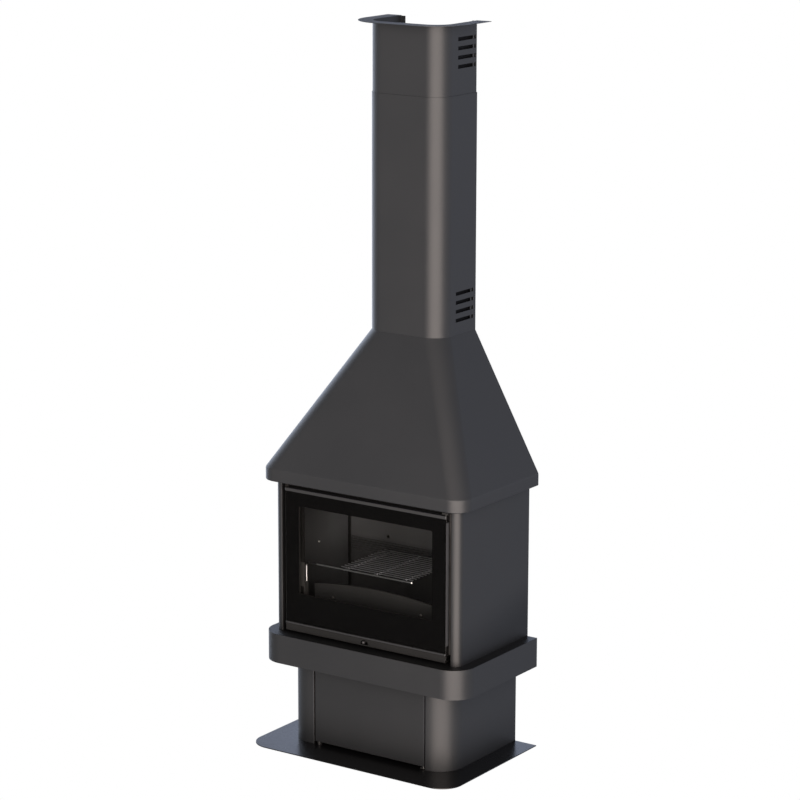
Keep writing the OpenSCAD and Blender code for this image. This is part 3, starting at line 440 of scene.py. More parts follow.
# %% Linings and castings
def lining_plate(name):
    return finish(name, (0.0148, 0.0156, 0.0170), (0.0238, 0.0250, 0.0272), 0.6, grain_scale=500.0,
                  bump=0.12, edge=0.0015, soot_amount=0.4, soot_scale=6.0, shine=0.3)


lining, lining_rear = lining_plate("lining_plate"), lining_plate("lining_rear_plate")
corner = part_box("side_lining_right")[0].x
# Painted shade in the back lining's corners.
painted_light_step(lining_rear, X, corner - 0.0065, corner - 0.0035, 1.0, 0.05, mirrored=True)
# Painted light on the back lining's top.
painted_light_step(lining_rear, Z, 0.628, 0.656, 1.0, 2.5)
# Painted light on the side linings' rear, painted shade at their front.
painted_light_step(lining, Y, -0.08, 0.19, 0.75, 2.9)
# Painted light higher on the side linings, painted shade lower down.
painted_light_step(lining, Z, 0.58, 0.70, 0.75, 1.4)
hearth = finish("hearth_plate", (0.06, 0.056, 0.052), (0.1, 0.094, 0.088), 0.85, grain_scale=240.0,
                bump=0.6, relief=0.0014, edge=0.0015, soot_amount=0.7)
retainer = finish("retainer_iron", (0.0100, 0.0105, 0.0112), (0.0140, 0.0147, 0.0157), 0.5,
                  grain_scale=320.0, bump=0.35, relief=0.0008, edge=0.0014, soot_amount=0.25, shine=0.35)
print("finishes so far:", len(bpy.data.materials) - 1)

# %% [markdown]
# ## Bare steel
# The grill, its arm, the screws and the pins are bare metal, drawn or ground, so fine lines run along
# them. A plain metal would mirror the room like chrome. The brush lines break the mirror image up. The
# arm gets painted highlights at its leg and its ball, and painted shade just behind the bend, where it turns
# away from the lamp.


# %% Bare steel
def bare_steel(name, colour, dark, roughness, stretch):
    """Metal with lines along the axis whose stretch is smallest."""
    material = surfaced(name, brush, {
        "Stretch": stretch, "Colour": (*colour, 1), "Dark Colour": (*dark, 1), "Roughness": roughness},
        0.15, 0.0002)
    feed(material.node_tree.nodes["Principled BSDF"], {"Metallic": 1.0})
    return material


LENGTHWISE, UPRIGHT = (6.0, 900.0, 900.0), (900.0, 900.0, 6.0)
PALE, PALE_LINES = (0.62, 0.62, 0.62), (0.42, 0.42, 0.42)
bright = bare_steel("bright_steel", PALE, PALE_LINES, 0.28, UPRIGHT)
screw_steel = bare_steel("screw_steel", PALE, PALE_LINES, 0.3, UPRIGHT)
bolt_steel = bare_steel("bolt_steel", (0.17, 0.17, 0.17), (0.10, 0.10, 0.10), 0.45, UPRIGHT)
knob_steel = bare_steel("knob_steel", (0.10, 0.10, 0.104), (0.05, 0.05, 0.053), 0.62, UPRIGHT)
arm_steel = bare_steel("arm_steel", (0.44, 0.45, 0.46), (0.30, 0.30, 0.31), 0.3, LENGTHWISE)
grill_steel = bare_steel("grill_steel", (0.45, 0.46, 0.49), (0.23, 0.235, 0.25), 0.38, LENGTHWISE)
ash_steel = bare_steel("ash_pan_steel", (0.3, 0.3, 0.3), (0.18, 0.18, 0.18), 0.45, (6.0, 300.0, 300.0))

# %% Painted highlights and shade on the grill arm and the screws
arm_low, arm_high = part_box("grill_arm")
slanting = (1, 0, 1)  # counts the height and the way to the right together
arm_start, arm_end = arm_low.x + arm_high.z, arm_high.x + arm_high.z
# Painted highlight on the arm's leg.
painted_light_step(arm_steel, Z, arm_high.z - 0.014, arm_high.z - 0.010, 1.4, 1.0)
# Painted shade just behind the bend.
painted_light_band(arm_steel, slanting, arm_start - 0.010, arm_start + 0.042, 0.3)
# Painted highlight on the ball at the arm's end.
painted_light_step(arm_steel, slanting, arm_end - 0.016, arm_end - 0.012, 1.0, 2.1)
# Painted shade: the back's screws are darkened almost to black, the side screws a little.
painted_light_step(screw_steel, X, 0.20, 0.21, 0.04, 0.8, mirrored=True)  # the back's screws lie in the dark
print("arm:", round(arm_high.x - arm_low.x, 4), "m long")

# %% [markdown]
# ## Glass
# The pane is heat-proof glass, clear, with a coat that keeps it from mirroring the room. Plain refracting
# glass would bend each ray twice and darken the chamber, but a thin flat pane displaces nothing. So the
# camera's, the lamps', the mirrored and the scattered rays pass straight on, and only a little is
# mirrored at the front face. Rays that come through other glass meet plain glass.

# %% Glass
glass = bpy.data.materials.new("heat_glass")
glass.use_nodes = True
pane = glass.node_tree
where = add(pane, "ShaderNodeTexCoord").outputs["Object"]
smear = times(noise(where, 14.0, 4.0, 0.6), 0.08)
solid = pane.nodes["Principled BSDF"]
feed(solid, {"Base Color": (0.9, 0.9, 0.89, 1), "Transmission Weight": 1.0, "IOR": 1.47, "Roughness": smear})
fresnel = add(pane, "ShaderNodeFresnel", {"IOR": 1.10})
facing = minus(1.0, add(pane, "ShaderNodeNewGeometry").outputs["Backfacing"])
clear = add(pane, "ShaderNodeBsdfTransparent", {"Color": (0.93, 0.93, 0.92, 1)})
mirror = add(pane, "ShaderNodeBsdfGlossy", {"Roughness": smear})
thin = add(pane, "ShaderNodeMixShader", {"Fac": times(fresnel, facing), 1: clear, 2: mirror})
ray = add(pane, "ShaderNodeLightPath").outputs
straight = ray["Is Camera Ray"]
for kind in ("Is Shadow Ray", "Is Glossy Ray", "Is Diffuse Ray"):
    straight = calc("MAXIMUM", straight, ray[kind])
either = add(pane, "ShaderNodeMixShader", {"Fac": straight, 1: solid, 2: thin})
feed(pane.nodes["Material Output"], {"Surface": either})
print("glass:", len(pane.nodes), "nodes")

# %% [markdown]
# ## Dressing the CAD parts
# Every CAD part keeps its mesh and gets one finish: satin coats outside, black heat paint and dull
# linings inside, bare steel for what moves or is touched. The seal's rope is a fibre, so it gets the
# grain with a strong relief and no rounded edge. Parts that are replaced later on are dressed too.


# %% Give the CAD nodes their finishes
def dress(material, *names):
    for name in names:
        mesh = nodes[name].data
        mesh.materials.clear()
        mesh.materials.append(material)


rope_fibre = finish("rope_fibre", (0.05, 0.049, 0.047), (0.12, 0.118, 0.112), 0.9, grain_scale=900.0,
                    bump=0.7, relief=0.0006, edge=0.0, cloud_scale=60.0)
dress(satin, "hood", "lower_cover", "upper_cover", "ceiling_flange")
dress(satin_casing, "firebox_casing")
dress(satin_door_lit, "door_frame")
dress(satin_store, "store_casing")
dress(satin_base, "store_door")
dress(rail_shade_paint, "lower_rail")
dress(satin_shelf, "hearth_shelf")
dress(satin_plate, "floor_plate")
dress(inner, "store_back", "support_legs", "shelf_deck", "shelf_bearers", "casing_back",
      "hood_brackets", "cover_joiner")
dress(dark_steel, "store_hinge_bracket", "upper_hinge_bracket", "lining_screws", "retainer_bolts",
      "grill_socket", "air_valve", "air_guide", "catch_tongue", "door_hinge_pins", "store_door_glide")
dress(shield_shade_paint, "vent_shields_low", "vent_shields_top")
dress(body_paint, "firebox_body", "ash_well", "smoke_dome", "flue_collar", "baffle_ledges")
dress(magnet_black, "store_magnet")
dress(door_black, "door_inner_frame")
dress(lining, "side_lining_left", "side_lining_right", "baffle_plate")
dress(lining_rear, "back_lining")
dress(hearth, "hearth_tiles", "ember_grate")
dress(retainer, "log_retainer", "retainer_feet")
dress(bright, "store_hinge_pins", "door_catch")
dress(knob_steel, "air_knob")
dress(arm_steel, "grill_arm")
dress(grill_steel, "grill_grate")
dress(ash_steel, "ash_pan")
dress(glass, "door_glass")
dress(rope_fibre, "door_gasket")
bare = [name for name, node in nodes.items() if not node.data.materials or node.data.materials[0] is None]
print("nodes without a finish:", bare)

# %% [markdown]
# ## The printed border of the glass
# The door is one full pane. Its border is black enamel, screen printed on the inner face and fired on,
# with a clear window that has small round corners. A mask in the glass could draw it, but enamel is a
# layer of its own. So it is a ring just behind the pane: an outer rectangle, an inner rounded one, and
# strips of faces between them.


# %% Mesh helpers
def mesh_object(name, vertices, faces, body, material):
    """A finished mesh piece: placed by its vertices, riding on a body, with its material."""
    mesh = bpy.data.meshes.new(name)
    mesh.from_pydata(vertices, [], faces)
    obj = link_object(name, mesh)
    mesh.materials.append(material)
    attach(obj, body)
    print(name + ":", len(vertices), "vertices")
    return obj


def rounded_rectangle(x0, x1, z0, z1, radius, steps=6):
    """Points round a rectangle with quarter-round corners, anticlockwise."""
    points = []
    for cx, cz, start in ((x1 - radius, z0 + radius, -90), (x1 - radius, z1 - radius, 0),
                          (x0 + radius, z1 - radius, 90), (x0 + radius, z0 + radius, 180)):
        for i in range(steps + 1):
            a = math.radians(start + 90 * i / steps)
            points.append((cx + radius * math.cos(a), cz + radius * math.sin(a)))
    return points


def ring_faces(count, closed=True):
    """Faces of a flat ring whose points come as four lines: outer, inner, then both on the far side."""
    a, b, c, d = (range(k * count, (k + 1) * count) for k in range(4))
    faces = [] if closed else [(a[0], b[0], d[0], c[0]), (b[-1], a[-1], c[-1], d[-1])]
    for i in range(count if closed else count - 1):
        j = (i + 1) % count
        faces += [(a[i], a[j], b[j], b[i]), (c[i], d[i], d[j], c[j]),
                  (b[i], b[j], d[j], d[i]), (c[i], c[j], a[j], a[i])]
    return faces


# %% Enamel border
MARGIN, PANE_ROUND, WINDOW_ROUND = 0.0002, 0.001, 0.006
WINDOW_WIDTH, WINDOW_HEIGHT, WINDOW_UP = 0.528, 0.300, 0.1011  # up from the pane's lower edge
ENAMEL_NEAR, ENAMEL_FAR = 0.00004, 0.00018  # behind the pane
pane_low, pane_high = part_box("door_glass")
window_low = pane_low.z + WINDOW_UP
outer_line = rounded_rectangle(pane_low.x + MARGIN, pane_high.x - MARGIN, pane_low.z + MARGIN,
                               pane_high.z - MARGIN, PANE_ROUND)
inner_line = rounded_rectangle(-WINDOW_WIDTH / 2, WINDOW_WIDTH / 2, window_low, window_low + WINDOW_HEIGHT,
                               WINDOW_ROUND)
ring = [(x, pane_high.y + behind, z) for behind in (ENAMEL_NEAR, ENAMEL_FAR)
        for line in (outer_line, inner_line) for x, z in line]
enamel = finish("fired_enamel", (0.0033, 0.0034, 0.0037), (0.0039, 0.0040, 0.0043), 0.6, bump=0.02,
                edge=0.0, shine=0.0)
border = mesh_object("glass_border", ring, ring_faces(len(outer_line)), "firebox_door", enamel)

# %% [markdown]
# ## Geometry Nodes for the pieces that follow a rule
# The hood is one U-shaped outline that shrinks on its way up, the screws are one head in many places,
# and the door seal is one twisted strand along a path. Each could be modelled by hand, but a Geometry
# Nodes tree keeps the rule itself, with the sizes as named inputs. A tree runs once, and the plain mesh
# that it makes is kept, so nothing is left to compute when a door swings.


# %% Helpers for Geometry Nodes
def maker_tree(name, inputs):
    """An empty Geometry Nodes tree, its input sockets and its output node."""
    geometry = {"Geometry": "Geometry"}
    return new_tree("GeometryNodeTree", name, {**geometry, **inputs}, geometry)


def pick(index, *values):
    """The value that stands at a whole-numbered index."""
    chooser = add(index.id_data, "GeometryNodeIndexSwitch", data_type="FLOAT")
    while len(chooser.index_switch_items) < len(values):
        chooser.index_switch_items.new()
    feed(chooser, dict(enumerate((index, *values))))
    return chooser


def xyz(tree, **parts):
    """A vector from its X, Y and Z."""
    return add(tree, "ShaderNodeCombineXYZ", parts)


def joined(*parts):
    """Several geometries as one."""
    join = add(parts[0].id_data, "GeometryNodeJoinGeometry")
    for part in parts:
        feed(join, {0: part})
    return join


def grid_place(tree, rows):
    """The column and the row of each point of a grid."""
    index = add(tree, "GeometryNodeInputIndex")
    column = calc("FLOOR", calc("DIVIDE", index, float(rows)))
    return column, minus(index, times(column, float(rows)))


def smooth_by_angle(geometry, degrees):
    """Smooth faces, with the edges that bend more than this angle kept sharp."""
    tree = geometry.id_data
    angle = add(tree, "GeometryNodeInputMeshEdgeAngle")
    bent = calc("GREATER_THAN", angle, math.radians(degrees))
    faces = add(tree, "GeometryNodeSetShadeSmooth", {
        "Geometry": geometry, "Shade Smooth": True}, domain="FACE")
    return add(tree, "GeometryNodeSetShadeSmooth", {
        "Geometry": faces, "Selection": bent, "Shade Smooth": False}, domain="EDGE")


def with_thickness(skin, sheet):
    """A second skin one sheet inside the first, joined to it along the cut edges."""
    tree = skin.id_data
    inside = add(tree, "GeometryNodeExtrudeMesh", {
        "Mesh": skin, "Offset Scale": times(sheet, -1.0), "Individual": False}, mode="FACES")
    turned = add(tree, "GeometryNodeFlipFaces", {"Mesh": inside})
    return add(tree, "GeometryNodeMergeByDistance", {"Geometry": joined(turned, skin), "Distance": 0.00002})


def close_tree(output, geometry, material):
    """The end of every tree: instances made real, and the finish set."""
    tree = output.id_data
    real = add(tree, "GeometryNodeRealizeInstances", {"Geometry": geometry})
    dressed = add(tree, "GeometryNodeSetMaterial", {"Geometry": real, "Material": material})
    feed(output, {0: dressed})
    print(tree.name + ":", len(tree.nodes), "nodes")


# %% Helper that runs a tree
def grown(name, tree, body, values, base=None):
    """Runs a tree once on a base mesh, or on nothing, and keeps the plain mesh on a body."""
    obj = link_object(name, base or bpy.data.meshes.new(name))
    maker = obj.modifiers.new("maker", "NODES")
    maker.node_group = tree
    ids = {item.name: item.identifier for item in tree.interface.items_tree if item.in_out == "INPUT"}
    for key, value in values.items():
        maker[ids[key]] = value
    shading = obj.modifiers.new("shading", "WEIGHTED_NORMAL")
    shading.keep_sharp = True
    graph = bpy.context.evaluated_depsgraph_get()
    mesh = bpy.data.meshes.new_from_object(obj.evaluated_get(graph), preserve_all_data_layers=True,
                                           depsgraph=graph)
    obj.modifiers.clear()
    obj.data = mesh
    mesh.name = name
    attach(obj, body)
    print(name + ":", len(mesh.vertices), "vertices,", len(mesh.polygons), "faces")
    return obj


# %% [markdown]
# ## The hood
# The real hood is cut from sheet, folded and welded: an upright band with a hem turned inwards, a front
# and two sides that taper, with rounded corners, and two lips on the wall. Blender could sweep or sculpt
# it, but every level has the same U outline, only smaller. So the tree makes three outlines, at the hem,
# the foot and the top, and blends a grid of points between them. The bends get a small radius.

# %% Outline group
HEM, LIP, SHEET, BEND = 0.012, 0.018, 0.0015, 0.003
HOOD_CORNER, COVER_CORNER = 0.060, 0.065  # radius at the hood's foot, and of the covers
u_tree, u, u_out = maker_tree("u_outline", {
    "Width": 0.8, "Depth": 0.45, "Radius": HOOD_CORNER, "Lip": LIP, "Bend": 0.0025, "Steps": 20})
six = add(u_tree, "GeometryNodeMeshLine", {"Count": 6})
from_middle = minus(add(u_tree, "GeometryNodeInputIndex"), 2.5)
away = calc("ABSOLUTE", from_middle)
is_lip = calc("GREATER_THAN", away, 2.0)
is_front = calc("LESS_THAN", away, 1.0)
half_here = minus(times(u["Width"], 0.5), times(is_lip, u["Lip"]))
flat = xyz(u_tree, X=times(calc("SIGN", from_middle), half_here), Y=times(times(is_front, u["Depth"]), -1.0))
bent = add(u_tree, "GeometryNodeSetPosition", {"Geometry": six, "Position": flat})
path = add(u_tree, "GeometryNodeMeshToCurve", {"Mesh": bent})
rounded = add(u_tree, "GeometryNodeFilletCurve", {
    "Curve": path, "Count": pick(is_front, 2, u["Steps"]),
    "Radius": pick(is_front, u["Bend"], u["Radius"])}, mode="POLY")
feed(u_out, {0: rounded})
print("outline:", len(u_tree.nodes), "nodes")

# %% Hood tree
h_tree, h, h_out = maker_tree("tapered_hood", {
    "Foot Width": 0.8, "Foot Depth": 0.46, "Foot Radius": HOOD_CORNER, "Top Width": 0.3,
    "Top Depth": 0.21, "Top Radius": COVER_CORNER, "Level": 0.9, "Band Height": 0.04, "Height": 0.49,
    "Wall": 0.27, "Hem": HEM, "Lip": LIP, "Sheet": SHEET, "Bend": BEND, "Finish": "Material"})


def outline(width, depth, radius, lip):
    return add(h_tree, "GeometryNodeGroup", {
        "Width": width, "Depth": depth, "Radius": radius, "Lip": lip}, node_tree=u_tree)


hem_line = outline(minus(h["Foot Width"], times(h["Hem"], 2.0)),
                   minus(h["Foot Depth"], h["Hem"]),
                   minus(h["Foot Radius"], h["Hem"]), minus(h["Lip"], h["Hem"]))
foot_line = outline(h["Foot Width"], h["Foot Depth"], h["Foot Radius"], h["Lip"])
top_line = outline(h["Top Width"], h["Top Depth"], h["Top Radius"], h["Lip"])
HOOD_ROWS = 8
around = add(h_tree, "GeometryNodeAttributeDomainSize", {"Geometry": foot_line}, component="CURVE")
h_grid = add(h_tree, "GeometryNodeMeshGrid", {"Vertices X": around, "Vertices Y": HOOD_ROWS})
h_column, h_row = grid_place(h_tree, HOOD_ROWS)

# %% Rows of the hood
MID_BEND = 0.29  # how far the middle of a quarter bend lies from its two straight lines, in radii
taper = minus(h["Height"], h["Band Height"])
bend_share = calc("DIVIDE", h["Bend"], h["Hem"])
near_edge = minus(1.0, bend_share)
round_edge = minus(1.0, times(bend_share, MID_BEND))
low_round = times(h["Bend"], MID_BEND)
under_bend = minus(h["Band Height"], h["Bend"])
over_bend = plus(h["Band Height"], h["Bend"])
in_bend = plus(h["Band Height"], times(low_round, 0.2))
hem_to_foot = pick(h_row, 0.0, near_edge, round_edge, 1.0, 1.0, 1.0, 1.0, 1.0)
foot_to_top = pick(h_row, 0.0, 0.0, 0.0, 0.0, 0.0, calc("DIVIDE", low_round, taper),
                   calc("DIVIDE", h["Bend"], taper), 1.0)
row_z = pick(h_row, 0.0, 0.0, low_round, h["Bend"], under_bend, in_bend, over_bend, h["Height"])


def at_column(line):
    """The place on an outline that belongs to a point's column."""
    return add(h_tree, "GeometryNodeSampleIndex", {
        "Geometry": line, "Value": add(h_tree, "GeometryNodeInputPosition"), "Index": h_column},
        data_type="FLOAT_VECTOR", domain="POINT")


low_place = mixed(hem_to_foot, at_column(hem_line), at_column(foot_line), "VECTOR")
flat_place = mixed(foot_to_top, low_place, at_column(top_line), "VECTOR")
lift = xyz(h_tree, Y=h["Wall"], Z=plus(h["Level"], row_z))
place = add(h_tree, "ShaderNodeVectorMath", {0: flat_place, 1: lift}, operation="ADD")

# %% Skin of the hood and its thickness
NOTHING = 1e-9  # area of a face whose corners fall together
h_shell = add(h_tree, "GeometryNodeSetPosition", {"Geometry": h_grid, "Position": place})
h_area = add(h_tree, "GeometryNodeInputMeshFaceArea")
h_clean = add(h_tree, "GeometryNodeDeleteGeometry", {
    "Geometry": h_shell, "Selection": calc("LESS_THAN", h_area, NOTHING)}, domain="FACE")
h_sheet = with_thickness(h_clean, h["Sheet"])
close_tree(h_out, smooth_by_angle(h_sheet, 50), h["Finish"])

# %% Grow the hood
BAND = 0.0406  # height of the upright band
hood_low, hood_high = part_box("hood")
cover_low, cover_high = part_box("lower_cover")
hood_piece = grown("hood_sheet", h_tree, "hearth", {
    "Foot Width": hood_high.x - hood_low.x, "Foot Depth": WALL - hood_low.y, "Foot Radius": HOOD_CORNER,
    "Top Width": cover_high.x - cover_low.x, "Top Depth": WALL - cover_low.y, "Top Radius": COVER_CORNER,
    "Level": hood_low.z, "Band Height": BAND, "Height": hood_high.z - hood_low.z, "Wall": WALL,
    "Finish": satin})
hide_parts("hood")

# %% [markdown]
# ## The two flue covers and their vents
# Each cover is a U of bent sheet with vents punched through both sides: a long slot and a short one
# behind it, four times over. The vents repeat, so the tree places one punch on a column of points and
# cuts the sheet with all of them at once. Punched slots have square ends, so nothing is rounded. The
# vents are a little taller here than in the CAD model, as the picture shows them.

# %% Cover tree
VENTS, VENT_PITCH, VENT_HEIGHT = 4, 0.0294, 0.012
v_tree, v, v_out = maker_tree("vented_cover", {
    "Width": 0.3, "Depth": 0.21, "Radius": COVER_CORNER, "Lip": LIP, "Sheet": SHEET, "Back": 0.27,
    "Bottom": 1.4, "Height": 0.6, "First Vent": 1.45, "Vents": VENTS, "Pitch": VENT_PITCH,
    "Vent Height": VENT_HEIGHT, "Rear": 0.015, "Short": 0.012, "Web": 0.005, "Long": 0.087,
    "First Hole": 1.57, "Holes": 2, "Hole Pitch": 0.09, "Hole Radius": 0.003, "Finish": "Material"})
v_line = add(v_tree, "GeometryNodeGroup", {
    key: v[key] for key in ("Width", "Depth", "Radius", "Lip")}, node_tree=u_tree)
v_edge = add(v_tree, "GeometryNodeCurveToMesh", {"Curve": v_line})
v_up = xyz(v_tree, Z=v["Height"])
v_wall = add(v_tree, "GeometryNodeExtrudeMesh", {
    "Mesh": v_edge, "Offset": v_up}, mode="EDGES")
v_skin = add(v_tree, "GeometryNodeFlipFaces", {"Mesh": v_wall})
v_base = xyz(v_tree, Y=v["Back"], Z=v["Bottom"])
v_sheet = add(v_tree, "GeometryNodeTransform", {
    "Geometry": with_thickness(v_skin, v["Sheet"]), "Translation": v_base})


# %% Punches and drills of the cover
def column_of(tool, x, y, first, pitch, count):
    """A cutting tool at every level of an upright column."""
    start = xyz(v_tree, X=x, Y=y, Z=first)
    step = xyz(v_tree, Z=pitch)
    points = add(v_tree, "GeometryNodeMeshLine", {"Count": count, "Start Location": start, "Offset": step})
    many = add(v_tree, "GeometryNodeInstanceOnPoints", {"Points": points, "Instance": tool})
    return add(v_tree, "GeometryNodeRealizeInstances", {"Geometry": many})


def punches(length, behind):
    """One punch through both sides at every vent level. behind: from the rear edge to the punch."""
    size = xyz(v_tree, X=times(v["Width"], 2.0), Y=length, Z=v["Vent Height"])
    block = add(v_tree, "GeometryNodeMeshCube", {"Size": size})
    middle = minus(minus(v["Back"], behind), times(length, 0.5))
    return column_of(block, 0.0, middle, v["First Vent"], v["Pitch"], v["Vents"])


long_behind = plus(plus(v["Rear"], v["Short"]), v["Web"])
drill = add(v_tree, "GeometryNodeMeshCylinder", {
    "Vertices": 24, "Radius": v["Hole Radius"], "Depth": times(v["Sheet"], 4.0)})
lying = add(v_tree, "GeometryNodeTransform", {"Geometry": drill, "Rotation": (math.pi / 2, 0, 0)})
hole_x = times(minus(v["Width"], v["Lip"]), 0.5)
tools = [column_of(lying, times(hole_x, side), v["Back"], v["First Hole"],
                   v["Hole Pitch"], v["Holes"]) for side in (-1.0, 1.0)]
tools += [punches(v["Short"], v["Rear"]), punches(v["Long"], long_behind)]
v_cut = add(v_tree, "GeometryNodeMeshBoolean", {
    "Mesh 1": v_sheet, "Mesh 2": joined(*tools)}, operation="DIFFERENCE", solver="EXACT")
close_tree(v_out, smooth_by_angle(v_cut, 40), v["Finish"])

# %% Grow the covers
LOW_VENT_UP, TOP_VENT_DOWN = 0.048, 0.051  # lowest vent above the hood, highest below the ceiling
LOW_REAR, TOP_REAR = 0.015, 0.008  # from the lower cover's rear edge to the vents
WALL_HOLE_UP = 0.170
upper_low, upper_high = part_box("upper_cover")
flange_low, flange_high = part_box("ceiling_flange")
step_in = upper_low.x - cover_low.x  # the upper cover slides inside the lower one
top_vent = flange_high.z - TOP_VENT_DOWN - (VENTS - 1) * VENT_PITCH
covers = (
    ("lower_cover_sheet", "hearth", "lower_cover", cover_low, cover_high, COVER_CORNER,
     hood_high.z + LOW_VENT_UP, LOW_REAR, 2),
    ("upper_cover_sheet", "telescope", "upper_cover", upper_low, upper_high, COVER_CORNER - step_in,
     top_vent, TOP_REAR - step_in, 0),
)
for name, body, node, low, high, radius, first_vent, rear, holes in covers:
    piece = grown(name, v_tree, body, {
        "Width": high.x - low.x, "Depth": high.y - low.y, "Radius": radius, "Back": high.y,
        "Bottom": low.z, "Height": high.z - low.z, "First Vent": first_vent, "Rear": rear,
        "Holes": holes, "First Hole": hood_high.z + WALL_HOLE_UP, "Finish": satin})
    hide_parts(node)

# %% [markdown]
# ## The ceiling flange
# A flat U of the same sheet closes the gap at the ceiling. Its front corners run nearly parallel to the
# bends of the cover, so their radius is a little over the cover's radius and the flange's width together. A
# Boolean of two slabs could make it, but it is small enough to be written down point by point: two
# outlines, a strip of faces between them, above and below, and the cut edges.


# %% Ceiling flange
def u_points(half, front, radius, steps=20):
    """A U seen from above: from the wall on the left, round both front corners, back to the wall."""
    turns = [math.radians(90 * i / steps) for i in range(steps + 1)]
    left = [(-half + radius * (1 - math.cos(a)), front + radius * (1 - math.sin(a))) for a in turns]
    return [(-half, WALL)] + left + [(-x, y) for x, y in reversed(left)] + [(half, WALL)]


FLANGE_CORNER = 0.132
rims = (u_points(flange_high.x, flange_low.y, FLANGE_CORNER),
        u_points(upper_high.x - SHEET, upper_low.y + SHEET, COVER_CORNER - step_in - SHEET))
plate = [(x, y, z) for z in (flange_high.z, flange_low.z) for rim in rims for x, y in rim]
flange_piece = mesh_object("ceiling_flange_sheet", plate, ring_faces(len(rims[0]), closed=False),
                           "telescope", satin)
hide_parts("ceiling_flange")

# %% [markdown]
# ## Screws and bolts
# The linings hang on domed screws with a hexagon socket, each in a dark cup, and the log retainer has two
# small bolts. On the rear, the two back sheets are held by rows of small screws. A screw head is a turned
# shape, so the tree bends a grid round an axis, row by row from the rim over the dome into the socket, and
# puts a head on every given point, turned to its axis.

# %% Screw tree
s_tree, c, s_out = maker_tree("domed_heads", {
    "Radius": 0.006, "Height": 0.003, "Socket": 0.002, "Depth": 0.0015, "Seed": 7, "Finish": "Material"})
SIDES, HEAD_ROWS = 24, 8
s_grid = add(s_tree, "GeometryNodeMeshGrid", {"Vertices X": SIDES + 1, "Vertices Y": HEAD_ROWS})
s_column, s_row = grid_place(s_tree, HEAD_ROWS)
turn = times(s_column, math.tau / SIDES)
from_flat = minus(calc("MODULO", turn, math.tau / 6), math.tau / 12)
hexagon = times(c["Socket"], calc("DIVIDE", math.cos(math.tau / 12), calc("COSINE", from_flat)))
reach = pick(s_row, 0.0, c["Radius"], c["Radius"], times(c["Radius"], 0.9),
             times(c["Radius"], 0.66), hexagon, hexagon, 0.0)
socket_floor = minus(c["Height"], c["Depth"])
rise = pick(s_row, 0.0, 0.0, times(c["Height"], 0.3), times(c["Height"], 0.68),
            times(c["Height"], 0.93), c["Height"], socket_floor, socket_floor)
s_place = xyz(s_tree, X=times(reach, calc("COSINE", turn)), Y=times(reach, calc("SINE", turn)), Z=rise)
s_head = add(s_tree, "GeometryNodeSetPosition", {"Geometry": s_grid, "Position": s_place})
s_closed = add(s_tree, "GeometryNodeMergeByDistance", {"Geometry": s_head, "Distance": 0.00001})

# %% Heads on their points
s_axis = add(s_tree, "GeometryNodeInputNamedAttribute", {"Name": "axis"}, data_type="FLOAT_VECTOR")
s_aim = add(s_tree, "FunctionNodeAlignRotationToVector", {"Vector": s_axis}, axis="Z")
s_many = add(s_tree, "GeometryNodeInstanceOnPoints", {
    "Points": c["Geometry"], "Instance": smooth_by_angle(s_closed, 45),
    "Rotation": s_aim})
s_random = add(s_tree, "FunctionNodeRandomValue", {"Seed": c["Seed"]})
s_spin = xyz(s_tree, Z=times(s_random.outputs[1], math.tau))
s_turned = add(s_tree, "GeometryNodeRotateInstances", {
    "Instances": s_many, "Rotation": s_spin, "Local Space": True})
close_tree(s_out, s_turned, c["Finish"])


def screw_heads(name, points, axes, material, **sizes):
    """Screw heads on points, each turned to its axis. sizes: Radius, Height, Socket, Depth."""
    base = bpy.data.meshes.new(name)
    base.from_pydata(points, [], [])
    axis = base.attributes.new("axis", "FLOAT_VECTOR", "POINT")
    axis.data.foreach_set("vector", [number for a in axes for number in a])
    return grown(name, s_tree, "hearth", {**sizes, "Finish": material}, base)


# %% Lining screws
BACK_SCREW_X = 0.132
SIDE_SCREW_BACK = 0.007  # from the front of the screws' box to their middle
screw_low, screw_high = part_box("lining_screws")
back_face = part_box("back_lining")[0].y
screw_z = (screw_low.z + screw_high.z) / 2
points = [(side * corner, screw_low.y + SIDE_SCREW_BACK, screw_z) for side in (-1, 1)]
points += [(side * BACK_SCREW_X, back_face, screw_z) for side in (-1, 1)]
axes = [(1, 0, 0), (-1, 0, 0), (0, -1, 0), (0, -1, 0)]
cups = screw_heads("lining_screw_cups", points, axes, dark_steel,
                   Radius=0.007, Height=0.0012, Socket=0.0052, Depth=0.0010)
heads = screw_heads("lining_screw_heads", points, axes, screw_steel,
                    Radius=0.0045, Height=0.0030, Socket=0.0019, Depth=0.0014)
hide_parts("lining_screws")

# %% Retainer bolts
BOLT_HALF = 0.006  # from the side of the bolts' box to a bolt's middle
bolt_low, bolt_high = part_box("retainer_bolts")
bolt_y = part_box("log_retainer")[0].y
bolt_z = (bolt_low.z + bolt_high.z) / 2
points = [(x, bolt_y, bolt_z) for x in (bolt_low.x + BOLT_HALF, bolt_high.x - BOLT_HALF)]
bolts = screw_heads("retainer_bolt_heads", points, [(0, -1, 0)] * 2, bolt_steel,
                    Radius=0.0052, Height=0.0038, Socket=0.0024, Depth=0.0020)
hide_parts("retainer_bolts")

# %% Screws on the rear
INSET = 0.014  # from a sheet's edge to its screws
points = []
for node, across, up in (("casing_back", 4, 4), ("store_back", 4, 3)):
    low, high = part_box(node)
    xs = np.linspace(low.x + INSET, high.x - INSET, across)
    zs = np.linspace(low.z + INSET, high.z - INSET, up)
    edge = [(x, z) for x in xs for z in (zs[0], zs[-1])] + [(x, z) for x in (xs[0], xs[-1]) for z in zs[1:-1]]
    points += [(float(x), high.y, float(z)) for x, z in edge]
rear_screws = screw_heads("rear_screws", points, [(0, 1, 0)] * len(points), dark_steel,
                          Radius=0.0045, Height=0.0020, Socket=0.0016, Depth=0.0012)

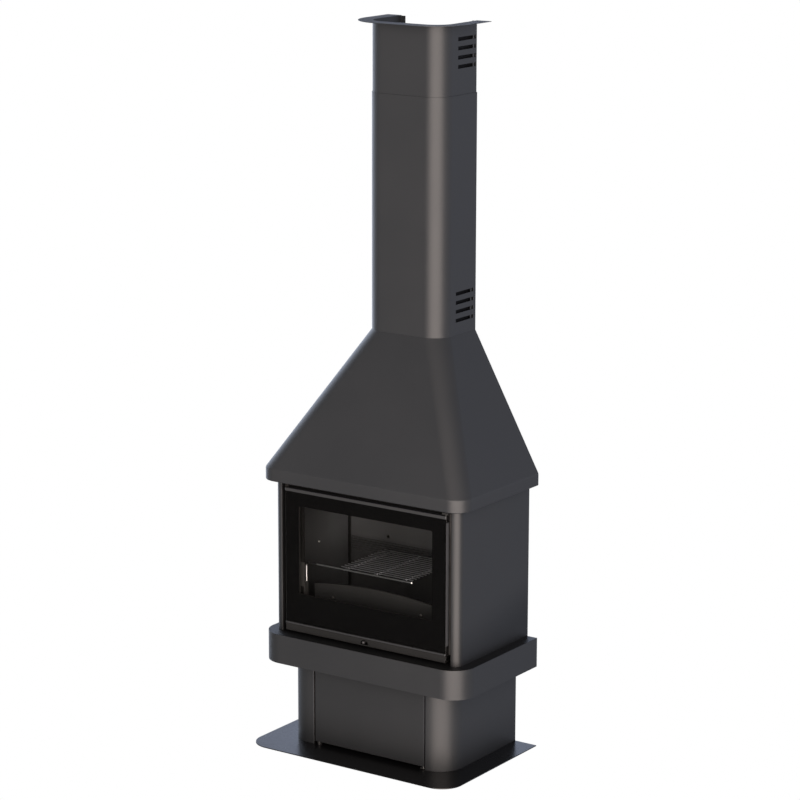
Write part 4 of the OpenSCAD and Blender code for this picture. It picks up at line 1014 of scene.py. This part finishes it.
# %% [markdown]
# ## The rope seal of the door
# The seal is a knitted glass-fibre rope, glued into the door round the window. It could be a plain tube
# with a bump map, but the twist shows on the outline when the door is open. So a profile with three lobes
# runs along the path, and the tilt of the path turns the lobes into strands.

# %% Rope tree
LOBES, PROFILE_POINTS = 3, 15
r_tree, k, r_out = maker_tree("twisted_rope", {
    "Width": 0.58, "Height": 0.38, "Corner": 0.02, "Thickness": 0.01, "Turns": 66, "Place": "Vector",
    "Finish": "Material"})
r_path = add(r_tree, "GeometryNodeCurvePrimitiveQuadrilateral", {"Width": k["Width"], "Height": k["Height"]})
r_round = add(r_tree, "GeometryNodeFilletCurve", {
    "Curve": r_path, "Count": 6, "Radius": k["Corner"]}, mode="POLY")
r_even = add(r_tree, "GeometryNodeResampleCurve", {"Curve": r_round, "Length": 0.0035}, mode="LENGTH")
r_share = add(r_tree, "GeometryNodeSplineParameter")
r_tilt = times(times(r_share, k["Turns"]), math.tau / LOBES)
r_twist = add(r_tree, "GeometryNodeSetCurveTilt", {"Curve": r_even, "Tilt": r_tilt})
r_ring = add(r_tree, "GeometryNodeCurvePrimitiveCircle", {
    "Resolution": PROFILE_POINTS, "Radius": times(k["Thickness"], 0.43)})
r_index = add(r_tree, "GeometryNodeInputIndex")
r_wave = calc("COSINE", times(r_index, math.tau * LOBES / PROFILE_POINTS))
r_push = add(r_tree, "ShaderNodeVectorMath", {
    0: add(r_tree, "GeometryNodeInputPosition"), "Scale": times(r_wave, 0.15)},
    operation="SCALE")
r_lobes = add(r_tree, "GeometryNodeSetPosition", {"Geometry": r_ring, "Offset": r_push})
r_mesh = add(r_tree, "GeometryNodeCurveToMesh", {"Curve": r_twist, "Profile Curve": r_lobes})
r_up = add(r_tree, "GeometryNodeTransform", {
    "Geometry": r_mesh, "Rotation": (math.pi / 2, 0, 0), "Translation": k["Place"]})
r_soft = add(r_tree, "GeometryNodeSetShadeSmooth", {"Geometry": r_up, "Shade Smooth": True})
close_tree(r_out, r_soft, k["Finish"])

# %% Grow the rope
SEAL_WIDTH, SEAL_CORNER = 0.014, 0.024
seal_low, seal_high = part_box("door_gasket")
rope = grown("door_rope", r_tree, "firebox_door", {
    "Width": seal_high.x - seal_low.x - SEAL_WIDTH, "Height": seal_high.z - seal_low.z - SEAL_WIDTH,
    "Corner": SEAL_CORNER, "Thickness": seal_high.y - seal_low.y, "Place": tuple((seal_low + seal_high) / 2),
    "Finish": rope_fibre})
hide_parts("door_gasket")
